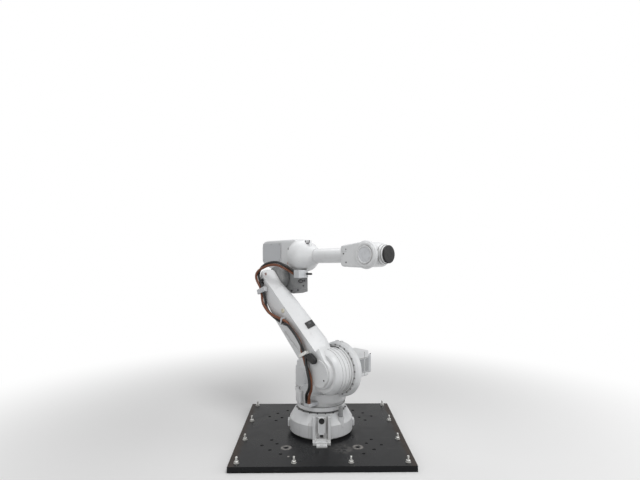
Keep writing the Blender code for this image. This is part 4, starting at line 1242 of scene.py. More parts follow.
@dataclass
class Base:
    """The fixed base: casting, channel cover, stop, bearing ring and connector box."""

    cover_face: float = 0.2404
    cover_hole: float = 0.0175
    cover_hole_height: float = 0.150
    gate_half: Pair = (0.012, 0.011)
    gate_height: float = 0.038
    channel_face: float = 0.2225
    cover_corners: tuple[Pair, Pair] = ((-0.022, 0.022), (0.060, 0.169))
    panel_corners: tuple[Pair, Pair] = ((-0.112, 0.112), (0.042, 0.148))
    panel_face: float = 0.3343
    side_foot: Triple = (0.045, 0.277, 0.018)
    middle_foot: Pair = (0.318, 0.012)
    ring_radius: float = 0.190
    cone_top: float = 0.183

    def build(self, shop: Workshop) -> None:
        """Builds the base's pieces."""
        shop.skin("base_casting", Body.BASE, Slot.WHITE, 0.003, 22.0)
        shop.skins(
            Body.BASE,
            (
                ("channel_cover", Slot.WHITE, 0.0015),
                ("bearing_ring", Slot.CASTING, 0.001),
                ("connector_box", Slot.WHITE, 0.003),
                ("connector_panel", Slot.GREY, 0.001),
                ("stop_post", Slot.CASTING, 0.0015),
            ),
        )
        self.build_cable_hole(shop)
        self.build_gate(shop)
        self.build_screws(shop)

    def build_cable_hole(self, shop: Workshop) -> None:
        """Builds the rubber grommet, and a dark disc that paints the shade inside the channel cover's hole.
        """
        middle = (0.0, self.cover_hole_height, self.cover_face - 0.001)
        place = DECK @ TO_RIGHT @ Matrix.Translation(middle)
        grommet = [
            (self.cover_hole - 0.0035, 0.001),
            (self.cover_hole + 0.0035, 0.001),
            (self.cover_hole + 0.0030, 0.0040),
            (self.cover_hole - 0.0010, 0.0045),
            (self.cover_hole - 0.0035, 0.0030),
        ]
        shop.fit(Form().turned(place, grommet, 40), "cover_grommet", Body.BASE, Slot.RUBBER)
        # A near-black disc behind the face paints the shade inside the hole
        depth = Form().turned(place, disc(self.cover_hole, -0.012, -0.004), 40)
        shop.fit(depth, "cover_hole_depth", Body.BASE, SHADOW_GAP)

    def build_gate(self, shop: Workshop) -> None:
        """Builds a dark block low in the channel that paints the shade of the cable gate."""
        half_width, half_height = self.gate_half
        # Near-black block that paints the shade inside the cable opening
        gate = Form().block(
            DECK @ TO_RIGHT,
            (-half_width, self.gate_height - half_height, self.channel_face - 0.004),
            (half_width, self.gate_height + half_height, self.channel_face + 0.0018),
        )
        shop.fit(gate, "low_cable_gate", Body.BASE, SHADOW_GAP, 0.001)

    def build_screws(self, shop: Workshop) -> None:
        """Builds the screws of the cover, the connector panel, the feet and the cone."""
        xs, zs = self.cover_corners
        spots = grid_spots(DECK @ TO_RIGHT, [(x, z) for x in xs for z in zs], self.cover_face)
        shop.fasten("cover_screws", Body.BASE, socket_screw(0.0042, 0.003), spots, BRIGHT_SCREW, 3)
        xs, zs = self.panel_corners
        spots = grid_spots(DECK @ TO_LEFT, [(x, -z) for x in xs for z in zs], self.panel_face)
        shop.fasten("panel_screws", Body.BASE, socket_screw(0.0045, 0.003), spots, BRIGHT_SCREW, 5)
        x, y, high = self.side_foot
        spots = grid_spots(DECK, [(-x, -y), (x, -y), (-x, y), (x, y)], high)
        y, high = self.middle_foot
        spots += grid_spots(DECK, [(0.0, -y), (0.0, y)], high)
        shop.fasten("foot_screws", Body.BASE, socket_screw(0.0085, 0.008), spots, Slot.WHITE, 7)
        spots = ring_spots(DECK, self.ring_radius, self.cone_top, 20, 9.0)
        shop.fasten("cone_screws", Body.BASE, socket_screw(0.0048, 0.0042), spots, DARK_SCREW, 9)


@dataclass
class Shoulder:
    """The turning shoulder with its bell, both drive motors and the gland of the harness."""

    bell_radius: float = 0.1805
    bell_face: float = 0.0100
    bell_screws: int = 24
    lug_reach: float = 0.022
    lug_half: float = 0.009
    turntable_radius: float = 0.186
    turntable_top: float = 0.2259
    gap_radii: Pair = (0.1662, 0.1725)
    gap_face: float = 0.0280
    gap_start: float = 76.0
    gap_step: float = 3.0
    gap_steps: int = 20
    motor_half: float = 0.0750
    motor_low: float = -0.0840
    motor_high: float = 0.1100
    motor_end: float = 0.3225
    motor_seams: tuple[float, ...] = (0.058, -0.052)
    motor_joint: float = 0.226
    seam_proud: float = 0.0004
    panel_spans: tuple[Pair, ...] = ((0.100, 0.218), (0.234, 0.272))
    panel_levels: Pair = (-0.046, 0.052)

    def build(self, shop: Workshop) -> None:
        """Builds the shoulder's pieces."""
        shop.skins(
            Body.SHOULDER,
            (
                ("shoulder_frame", Slot.WHITE, 0.004),
                ("axis_1_motor", Slot.WHITE, 0.004),
                ("cable_bracket", Slot.WHITE, 0.002),
                ("cable_gland", Slot.GREY, 0.002),
                ("axis_2_gear_ring", Slot.WHITE, 0.001),
                ("axis_2_motor", Slot.WHITE, 0.005),
                ("axis_2_motor_cap", Slot.GREY, 0.005),
            ),
        )
        self.build_bell(shop)
        self.build_shadow_arc(shop)
        self.build_motor_seams(shop)
        self.build_motor_end(shop)

    def build_bell(self, shop: Workshop) -> None:
        """Builds the bell's screws and lugs and the turntable's seam."""
        near = SHOULDER_HUB @ TO_RIGHT
        spots = ring_spots(near, self.bell_radius, self.bell_face, self.bell_screws, 4.0)
        pattern = socket_screw(0.0060, 0.0050)
        shop.fasten("bell_screws", Body.SHOULDER, pattern, spots, STEEL_GREY, 11)
        radius, top = self.turntable_radius, self.turntable_top
        seam = hoop(radius - 0.006, radius - 0.0015, top - 0.0005, top + 0.0022)
        shop.fit(Form().turned(AXIS_1, seam, 120), "turntable_seam", Body.SHOULDER, SEAM_GREY)
        lugs = Form()
        for x in (-self.lug_reach, self.lug_reach):
            low = (x - self.lug_half, -0.2085, 0.008)
            lugs.block(SHOULDER_HUB @ TO_LEFT, low, (x + self.lug_half, -0.196, 0.030))
        shop.fit(lugs, "bell_lugs", Body.SHOULDER, Slot.WHITE, 0.002)

    def build_shadow_arc(self, shop: Workshop) -> None:
        """Builds a dark arc that paints the shadow in the gap at the top between the hub and the bell."""
        turns = [math.radians(self.gap_start + self.gap_step * step) for step in range(self.gap_steps)]
        inner, outer = self.gap_radii
        outline = [(outer * math.cos(t), outer * math.sin(t)) for t in turns]
        outline += [(inner * math.cos(t), inner * math.sin(t)) for t in reversed(turns)]
        low, high = self.gap_face - 0.0030, self.gap_face + 0.0006
        # Near-black arc that paints the shadow in the top of the gap
        arc = Form().slab(SHOULDER_HUB @ TO_RIGHT, outline, low, high)
        shop.fit(arc, "bell_gap_top", Body.SHOULDER, SHADOW_GAP)

    def build_motor_seams(self, shop: Workshop) -> None:
        """Builds the seams and the side panels of the second drive motor."""
        reach = self.motor_half + self.seam_proud
        seams = Form()
        for level in self.motor_seams:
            low, high = level - 0.0016, level + 0.0016
            seams.block(SHOULDER_HUB, (-reach, 0.092, low), (reach, 0.2760, high))
        joint = self.motor_joint
        low, high = self.motor_low + 0.006, self.motor_high - 0.006
        seams.block(SHOULDER_HUB, (-reach, joint - 0.0014, low), (reach, joint + 0.0014, high))
        shop.fit(seams, "motor_2_seams", Body.SHOULDER, SEAM_GREY)
        panels = Form()
        low, high = self.panel_levels
        for side in (-1.0, 1.0):
            first, second = sorted((side * (self.motor_half - 0.002), side * (self.motor_half + 0.0022)))
            for start, end in self.panel_spans:
                panels.block(SHOULDER_HUB, (first, start, low), (second, end, high))
        shop.fit(panels, "motor_2_side_panels", Body.SHOULDER, MOTOR_PANEL, 0.0012)

    def build_motor_end(self, shop: Workshop) -> None:
        """Builds the plug and the screws on the second motor's end."""
        place = SHOULDER_HUB @ TO_LEFT
        spots = grid_spots(place, [(0.0, -0.035)], self.motor_end)
        shop.fasten("motor_2_plug", Body.SHOULDER, socket_screw(0.016, 0.006), spots, Slot.RUBBER, 13)
        corners = [(x, -z) for x in (-0.052, 0.052) for z in (-0.044, 0.072)]
        spots = grid_spots(place, corners, self.motor_end)
        shop.fasten("motor_2_screws", Body.SHOULDER, socket_screw(0.0045, 0.004), spots, DARK_SCREW, 15)


@dataclass
class LowerArm:
    """The lower arm casting with hub cover, pads, clips and the gear ring of the elbow."""

    cover_radius: float = 0.098
    cover_seat: float = 0.2003
    cover_face: float = 0.2063
    cover_screw_circle: float = 0.087
    plug_hole: Pair = (0.017, -0.067)
    hub_radius: float = 0.1650
    band_levels: tuple[Pair, ...] = ((0.0400, 0.0500), (0.0740, 0.0860), (0.1080, 0.1180))
    band_proud: float = 0.0014
    seam_levels: tuple[float, ...] = (0.0525, 0.0885, 0.1205)
    boot_place: Pair = (0.034, 0.108)
    boot_tilt: float = -17.0
    boot_size: Pair = (0.092, 0.050)
    boot_levels: Triple = (0.2066, 0.2380, 0.2395)
    elbow_plug: Pair = (-0.052, 0.908)
    cream_place: Pair = (-0.012, 0.575)
    elbow_boss: Pair = (0.017, 0.930)
    rib: tuple[Pair, ...] = (
        (-0.060, 0.215),
        (-0.068, 0.250),
        (-0.084, 0.340),
        (-0.100, 0.430),
        (-0.104, 0.465),
    )
    rib_radius: float = 0.0042
    flank_foot: Pair = (0.077, 0.131)
    flank_slope: float = -7.145
    flank_turn: float = 31.5
    pad_middle: Triple = (0.0470, -0.1233, 0.220)

    def build(self, shop: Workshop) -> None:
        """Builds the lower arm's pieces."""
        shop.skins(
            Body.LOWER_ARM,
            (
                ("lower_arm_casting", Slot.WHITE, 0.005),
                ("front_pad", Slot.RUBBER, 0.002),
                ("metal_clamp", Slot.ZINC, 0.0015),
                ("middle_clip", Slot.GREY, 0.0015),
                ("upper_bracket", Slot.GREY, 0.002),
                ("axis_3_gear_ring", Slot.CASTING, 0.001),
            ),
        )
        self.build_hub_cover(shop)
        self.build_hub_bands(shop)
        self.build_boot(shop)
        self.build_bosses(shop)
        self.build_rib(shop)
        self.build_pad_window(shop)

    def build_hub_cover(self, shop: Workshop) -> None:
        """Builds the round hub cover with its rim and screws, and a dark disc that paints the shade in its
        hole.
        """
        near = AXIS_2 @ TO_RIGHT
        profile = [
            (0.0, self.cover_seat),
            (self.cover_radius, self.cover_seat),
            (self.cover_radius, self.cover_face - 0.0013),
            (self.cover_radius - 0.0012, self.cover_face),
            (self.cover_radius - 0.019, self.cover_face),
            (self.cover_radius - 0.020, self.cover_face - 0.0008),
            (0.0, self.cover_face - 0.0008),
        ]
        cover = Form().turned(near, profile, 128)
        shop.fit(cover, "hub_cover_disc", Body.LOWER_ARM, Slot.WHITE, 0.0, 25.0, ("hub_cover",))
        spots = ring_spots(near, self.cover_screw_circle, self.cover_face, 12, 8.0)
        shop.fasten("hub_screws", Body.LOWER_ARM, socket_screw(0.0042, 0.0028), spots, Slot.WHITE, 17)
        # Near-black disc that paints the shade inside the cover's hole
        place = near @ Matrix.Translation((*self.plug_hole, 0.0))
        hole = Form().turned(place, disc(0.0062, 0.203, 0.2061), 24)
        shop.fit(hole, "hub_plug_hole", Body.LOWER_ARM, SHADOW_GAP)

    def build_hub_bands(self, shop: Workshop) -> None:
        """Builds the raised bands and the seams round the hub."""
        near = AXIS_2 @ TO_RIGHT
        inner = self.hub_radius - 0.003
        outer = self.hub_radius + self.band_proud
        bands = Form()
        for low, high in self.band_levels:
            profile = [
                (inner, low),
                (outer - 0.0006, low),
                (outer, low + 0.0012),
                (outer, high - 0.0012),
                (outer - 0.0006, high),
                (inner, high),
            ]
            bands.turned(near, profile, 128)
        shop.fit(bands, "hub_bands", Body.LOWER_ARM, Slot.WHITE)
        seams = Form()
        for level in self.seam_levels:
            section = hoop(inner, self.hub_radius + 0.0004, level - 0.0012, level + 0.0012)
            seams.turned(near, section, 128)
        shop.fit(seams, "hub_seams", Body.LOWER_ARM, SOFT_SEAM)

    def build_boot(self, shop: Workshop) -> None:
        """Builds the rounded black boot that the cables lean on, with a dark face that paints the shade of
        its hollow.
        """
        length, width = self.boot_size
        reach = (length - width) / 2.0
        outline = []
        for start, middle in ((0.0, reach), (180.0, -reach)):
            for step in range(13):
                angle = math.radians(start + 15.0 * step)
                outline.append((width / 2.0 * math.cos(angle), middle + width / 2.0 * math.sin(angle)))
        place = (
            AXIS_2
            @ Matrix.Translation((self.boot_place[0], 0.0, self.boot_place[1]))
            @ Matrix.Rotation(math.radians(self.boot_tilt), 4, "Y")
            @ TO_RIGHT
        )
        low, high, face = self.boot_levels
        boot = Form().slab(place, outline, low, high)
        waist = [(x * 0.72, y * 0.84) for x, y in outline]
        shop.fit(boot, "cable_boot", Body.LOWER_ARM, Slot.RUBBER, 0.006, 32.0, ("lower_cable_pad",))
        # Near-black face that paints the shade inside the boot's hollow
        pad = Form().slab(place, waist, high - 0.0008, face)
        shop.fit(pad, "cable_boot_face", Body.LOWER_ARM, SHADOW_GAP, 0.0008)

    def build_bosses(self, shop: Workshop) -> None:
        """Builds the plug behind the elbow and both bosses."""
        near = AXIS_2 @ TO_RIGHT
        plug = Form()
        x, y = self.elbow_plug
        for along in (-0.010, 0.010):
            shift = Matrix.Translation((x + along * 0.72, y + along, 0.0))
            plug.turned(near @ shift, disc(0.0125, 0.197, 0.2090, 0.0020, 0.0020), 28)
        shop.fit(plug, "elbow_plug", Body.LOWER_ARM, Slot.RUBBER)
        place = near @ Matrix.Translation((*self.cream_place, 0.0))
        cream = Form().turned(place, disc(0.0165, 0.1985, 0.2060, 0.0015, 0.0015), 32)
        shop.fit(cream, "cream_boss", Body.LOWER_ARM, CREAM_BOSS)
        # The elbow boss's pink tint is a painted reflection of the brown cable
        place = near @ Matrix.Translation((*self.elbow_boss, 0.0))
        pink = Form().turned(place, disc(0.0115, 0.1985, 0.2042, 0.0015, 0.0012), 32)
        shop.fit(pink, "elbow_boss", Body.LOWER_ARM, PINK_BOSS)

    def build_rib(self, shop: Workshop) -> None:
        """Builds the thin rib behind the cables, with both ends sunk into the flank."""
        line = [AXIS_2 @ Vector((x, -0.2008, z)) for x, z in self.rib]
        line[0] = line[0] + LEFT * 0.004
        line[-1] = line[-1] + LEFT * 0.004
        shop.fit(Form().swept(line, self.rib_radius, 12), "flank_rib", Body.LOWER_ARM, Slot.WHITE)

    def build_pad_window(self, shop: Workshop) -> None:
        """Builds the small window in the pad on the slanted front face."""
        face = (
            AXIS_2
            @ Matrix.Translation((self.flank_foot[0], 0.0, self.flank_foot[1]))
            @ Matrix.Rotation(math.radians(self.flank_slope), 4, "Y")
            @ Matrix.Translation(self.pad_middle)
            @ Matrix.Rotation(math.radians(-self.flank_turn), 4, "Z")
        )
        window = Form().block(face, (0.0070, -0.011, -0.002), (0.0092, 0.011, 0.016))
        shop.fit(window, "pad_window", Body.LOWER_ARM, PAD_GREY, 0.0006)


@dataclass
class UpperArm:
    """The upper arm housing with its covers, gear casing, motor and connector block."""

    cover_screw: float = 0.0045
    block_low: Triple = (0.258, -0.130, 0.004)
    block_high: Triple = (0.318, -0.0303, 0.066)
    cable_entry: Triple = (0.258, -0.100, 0.036)
    back_cover: tuple[Pair, Pair] = ((0.140, -0.026), (0.290, 0.073))
    back_levels: Pair = (0.2570, 0.2622)
    back_corner: float = 0.014
    back_screw_gap: float = 0.011
    side_xs: Triple = (-0.222, -0.115, -0.008)
    side_zs: Pair = (0.144, 0.280)
    near_face: float = 0.0542
    far_face: float = 0.1432
    buttons: tuple[tuple[str, Triple, Pair, Mark], ...] = (
        ("side_boss", (0.156, 0.236, 0.0125), (0.060, 0.0930), STEEL_GREY),
        ("side_plug", (0.182, 0.232, 0.0060), (0.080, 0.1170), SEAM_GREY),
        ("side_drain", (0.151, 0.122, 0.0130), (0.060, 0.0965), PINK_BOSS),
    )
    clip_plane: float = -0.0375
    clip_side: tuple[Pair, ...] = ((0.024, 0.301), (0.0235, 0.280), (0.019, 0.2765))
    clip_middle: float = 0.321
    wire_radius: float = 0.0030
    handle_middle: Triple = (0.232, -0.034, -0.026)
    handle_size: Pair = (0.026, 0.011)
    casing_places: tuple[Pair, ...] = (
        (0.275, -0.022),
        (0.150, 0.030),
        (0.262, -0.062),
        (0.196, -0.100),
        (0.120, -0.108),
    )

    def build(self, shop: Workshop) -> None:
        """Builds the upper arm's pieces."""
        shop.skins(
            Body.UPPER_ARM,
            (
                ("upper_arm_housing", Slot.WHITE, 0.005),
                ("right_side_cover", Slot.GREY, 0.002),
                ("left_side_cover", Slot.GREY, 0.002),
                ("axis_3_gear_casing", Slot.CASTING, 0.005),
                ("axis_3_motor", Slot.WHITE, 0.003),
            ),
        )
        self.build_connector(shop)
        self.build_back_cover(shop)
        self.build_cover_screws(shop)
        self.build_buttons(shop)
        self.build_cone_clip(shop)
        self.build_casing_fittings(shop)

    def build_connector(self, shop: Workshop) -> None:
        """Builds the connector block with the cables' entry and its pin."""
        block = Form().block(AXIS_3, self.block_low, self.block_high)
        shop.fit(block, "connector_block", Body.UPPER_ARM, Slot.GREY, 0.004, 32.0, ("junction_box",))
        place = AXIS_3 @ Matrix.Translation(self.cable_entry) @ TO_BACK
        entry = Form().turned(place, disc(0.0265, -0.004, 0.010, 0.002, 0.002), 40)
        shop.fit(entry, "cable_entry", Body.UPPER_ARM, Slot.RUBBER)
        shop.skin("connector_pin", Body.UPPER_ARM, Slot.FLANGE, 0.001)

    def build_back_cover(self, shop: Workshop) -> None:
        """Builds the cover on the flat part of the housing's back."""
        back = AXIS_3 @ TO_BACK
        low, high = self.back_cover
        seat, face = self.back_levels
        cover = Form().slab(back, rounded_outline(low, high, self.back_corner), seat, face)
        shop.fit(cover, "back_cover_plate", Body.UPPER_ARM, Slot.WHITE, 0.0014, 32.0, ("back_cover",))
        gap = self.back_screw_gap
        corners = [(z, y) for z in (low[0] + gap, high[0] - gap) for y in (low[1] + gap, high[1] - gap)]
        pattern = socket_screw(self.cover_screw, 0.003)
        spots = grid_spots(back, corners, face)
        shop.fasten("back_cover_screws", Body.UPPER_ARM, pattern, spots, BRIGHT_SCREW, 25)

    def build_cover_screws(self, shop: Workshop) -> None:
        """Builds the screws of both side covers."""
        for side, turn, way, face, seed in (
            ("right", TO_RIGHT, 1.0, self.near_face, 19),
            ("left", TO_LEFT, -1.0, self.far_face, 23),
        ):
            corners = [(x, way * z) for x in self.side_xs for z in self.side_zs]
            spots = grid_spots(AXIS_3 @ turn, corners, face)
            pattern = socket_screw(self.cover_screw, 0.003)
            shop.fasten(f"{side}_cover_screws", Body.UPPER_ARM, pattern, spots, BRIGHT_SCREW, seed)

    def build_buttons(self, shop: Workshop) -> None:
        """Builds the round bosses and plugs on the near side."""
        for name, (x, z, radius), (low, high), mark in self.buttons:
            place = AXIS_3 @ TO_RIGHT @ Matrix.Translation((x, z, 0.0))
            button = Form().turned(place, disc(radius, low, high, 0.0012, 0.0012), 32)
            shop.fit(button, name, Body.UPPER_ARM, mark)

    def build_cone_clip(self, shop: Workshop) -> None:
        """Builds the lug on top of the cone and the wire clip round it."""
        lug = Form().block(AXIS_3, (0.298, -0.036, 0.250), (0.344, -0.014, 0.300))
        shop.fit(lug, "cone_lug", Body.UPPER_ARM, Slot.WHITE, 0.0025)
        places = [(self.clip_middle - reach, z) for reach, z in self.clip_side]
        places += [(self.clip_middle + reach, z) for reach, z in reversed(self.clip_side)]
        line = [AXIS_3 @ Vector((x, self.clip_plane, z)) for x, z in places]
        clip = Form().swept(line, self.wire_radius, 10)
        shop.fit(clip, "cone_clip", Body.UPPER_ARM, DARK_SCREW)

    def build_casing_fittings(self, shop: Workshop) -> None:
        """Builds the handle, the collar and the screws of the gear casing."""
        x, y, z = self.handle_middle
        wide, high = self.handle_size
        line = []
        for step in range(25):
            angle = math.radians(15.0 * step)
            spot = Vector((x + wide * math.cos(angle), y, z + high * math.sin(angle)))
            line.append(AXIS_3 @ spot)
        handle = Form().swept(line, self.wire_radius, 10)
        shop.fit(handle, "casing_handle", Body.UPPER_ARM, DARK_SCREW)
        near = AXIS_3 @ TO_RIGHT
        profile = [
            (0.066, 0.028),
            (0.082, 0.028),
            (0.082, 0.0335),
            (0.080, 0.0350),
            (0.068, 0.0350),
            (0.066, 0.0335),
        ]
        shop.fit(Form().turned(near, profile, 72), "casing_collar", Body.UPPER_ARM, Slot.CASTING)
        spots = grid_spots(near, self.casing_places, 0.030)
        shop.fasten("casing_screws", Body.UPPER_ARM, socket_screw(0.0070, 0.005), spots, DARK_SCREW, 29)
        spots = ring_spots(near, 0.074, 0.035, 8, 10.0)
        shop.fasten("collar_screws", Body.UPPER_ARM, socket_screw(0.0045, 0.003), spots, DARK_SCREW, 31)


@dataclass
class Wrist:
    """The forearm tube, the wrist with its covers, the tilting piece and the tool disc."""

    near_cover: Pair = (0.063, 0.1063)
    far_cover: Pair = (0.048, 0.1003)
    cover_thickness: float = 0.006
    swell_middle: float = 0.0762
    swell_half: float = 0.0117
    swell_levels: Triple = (0.0985, 0.0992, 0.0055)
    nose_start: float = 0.062
    nose_radius: float = 0.0755
    ring_levels: tuple[float, ...] = (0.084, 0.1045)
    disc_holes: Triple = (0.040, 0.1349, 30.0)
    block_screws: tuple[Pair, ...] = ((-0.172, 0.040), (-0.172, -0.052), (-0.196, 0.010))
    block_face: float = 0.1000

    def build(self, shop: Workshop) -> None:
        """Builds the wrist's pieces."""
        shop.skin("forearm_tube", Body.FOREARM, Slot.WHITE, 0.001)
        shop.skin("wrist_housing", Body.FOREARM, Slot.WHITE, 0.003)
        self.build_cover(shop, "right", AXIS_5 @ TO_RIGHT, self.near_cover)
        self.build_cover(shop, "left", AXIS_5 @ TO_LEFT, self.far_cover)
        self.build_swell(shop)
        self.build_nose(shop)
        self.build_block_fittings(shop)
        shop.skin("tilt_housing", Body.WRIST_TILT, Slot.WHITE, 0.003)
        shop.skin("tool_disc", Body.TOOL_FLANGE, Slot.FLANGE, 0.001)

    def build_cover(self, shop: Workshop, side: str, place: Matrix, size: Pair) -> None:
        """Builds one round cover with a raised rim and a ring of screws.

        Args:
            shop: the workshop.
            side: right or left.
            place: the axes it is turned in.
            size: its radius and the height of its face.
        """
        radius, face = size
        seat = face - self.cover_thickness
        rim = [
            (radius - 0.0095, seat),
            (radius, seat),
            (radius, face - 0.0012),
            (radius - 0.0012, face),
            (radius - 0.0080, face),
            (radius - 0.0095, face - 0.0025),
        ]
        node = f"{side}_wrist_cover"
        form = Form().turned(place, rim, 96)
        shop.fit(form, f"{side}_cover_rim", Body.FOREARM, Slot.WHITE, 0.0, 32.0, (node,))
        inner = radius - 0.0090
        middle = [(0.0, seat), (inner, seat), (inner, face - 0.0032), (0.0, face - 0.0026)]
        shop.fit(Form().turned(place, middle, 96), f"{side}_cover_disc", Body.FOREARM, PALE_DISC)
        spots = ring_spots(place, radius - 0.0046, face - 0.0005, 8, 22.5)
        pattern = socket_screw(0.0030, 0.0022)
        shop.fasten(f"{side}_cover_ring_screws", Body.FOREARM, pattern, spots, Slot.WHITE, 37)

    def build_swell(self, shop: Workshop) -> None:
        """Builds the swollen ring round the near cover."""
        foot, level, rise = self.swell_levels
        profile = [(self.swell_middle - self.swell_half, foot)]
        for step in range(13):
            angle = math.radians(15.0 * step)
            out = self.swell_middle - self.swell_half * math.cos(angle)
            profile.append((out, level + rise * math.sin(angle)))
        profile.append((self.swell_middle + self.swell_half, foot))
        form = Form().turned(AXIS_5 @ TO_RIGHT, profile, 96)
        shop.fit(form, "right_cover_swell", Body.FOREARM, Slot.WHITE, 0.0, 50.0)

    def build_nose(self, shop: Workshop) -> None:
        """Builds the seams before the tool disc, dark plugs that paint the shade in the disc's holes, and
        its spigot.
        """
        place = AXIS_5 @ TO_FRONT
        rings = Form()
        for level in self.ring_levels:
            radius = self.nose_radius - (level - self.nose_start) / 4.0
            profile = [
                (radius - 0.004, level - 0.0016),
                (radius + 0.0008, level - 0.0016),
                (radius + 0.0003, level + 0.0016),
                (radius - 0.004, level + 0.0016),
            ]
            rings.turned(place, profile, 96)
        shop.fit(rings, "nose_seams", Body.WRIST_TILT, SEAM_GREY)
        # Near-black plugs that paint the shade inside the disc's holes
        circle, face, first = self.disc_holes
        spots = ring_spots(place, circle, face, 6, first)
        pattern = socket_screw(0.0058, 0.0012)
        shop.fasten("tool_disc_holes", Body.TOOL_FLANGE, pattern, spots, SHADOW_GAP, 41)
        spigot = Form().turned(place, hoop(0.0195, 0.0225, 0.1340, 0.1358), 48)
        shop.fit(spigot, "tool_disc_spigot", Body.TOOL_FLANGE, Slot.FLANGE)

    def build_block_fittings(self, shop: Workshop) -> None:
        """Builds the screws and the lug of the wrist's block."""
        spots = grid_spots(AXIS_5 @ TO_RIGHT, self.block_screws, self.block_face)
        pattern = socket_screw(0.0050, 0.0032)
        shop.fasten("wrist_block_screws", Body.FOREARM, pattern, spots, DARK_SCREW, 43)
        lug = Form().block(AXIS_5, (-0.216, -0.102, 0.026), (-0.160, -0.094, 0.066))
        shop.fit(lug, "wrist_lug", Body.FOREARM, Slot.WHITE, 0.0022)


@dataclass(frozen=True)
class Stretch:
    """One stretch of the cable pair, with how the pair turns round itself along it."""

    label: str
    points: list[Vector]
    bodies: tuple[Body, ...]
    twist: Triple
    hold: float = 0.0

    def turn_at(self, share: float) -> float:
        """The pair's turn round itself.

        Args:
            share: share of the length; the twist's three angles are those at 0, 0.5 and 1, and
                the middle one holds over a share of the length on both sides of halfway.

        Returns:
            The angle in radians.
        """
        end = self.twist[0] if share < 0.5 else self.twist[2]
        part = max(0.0, abs(share - 0.5) - self.hold) / (0.5 - self.hold)
        return math.radians(self.twist[1] + (end - self.twist[1]) * part * part * (3.0 - 2.0 * part))


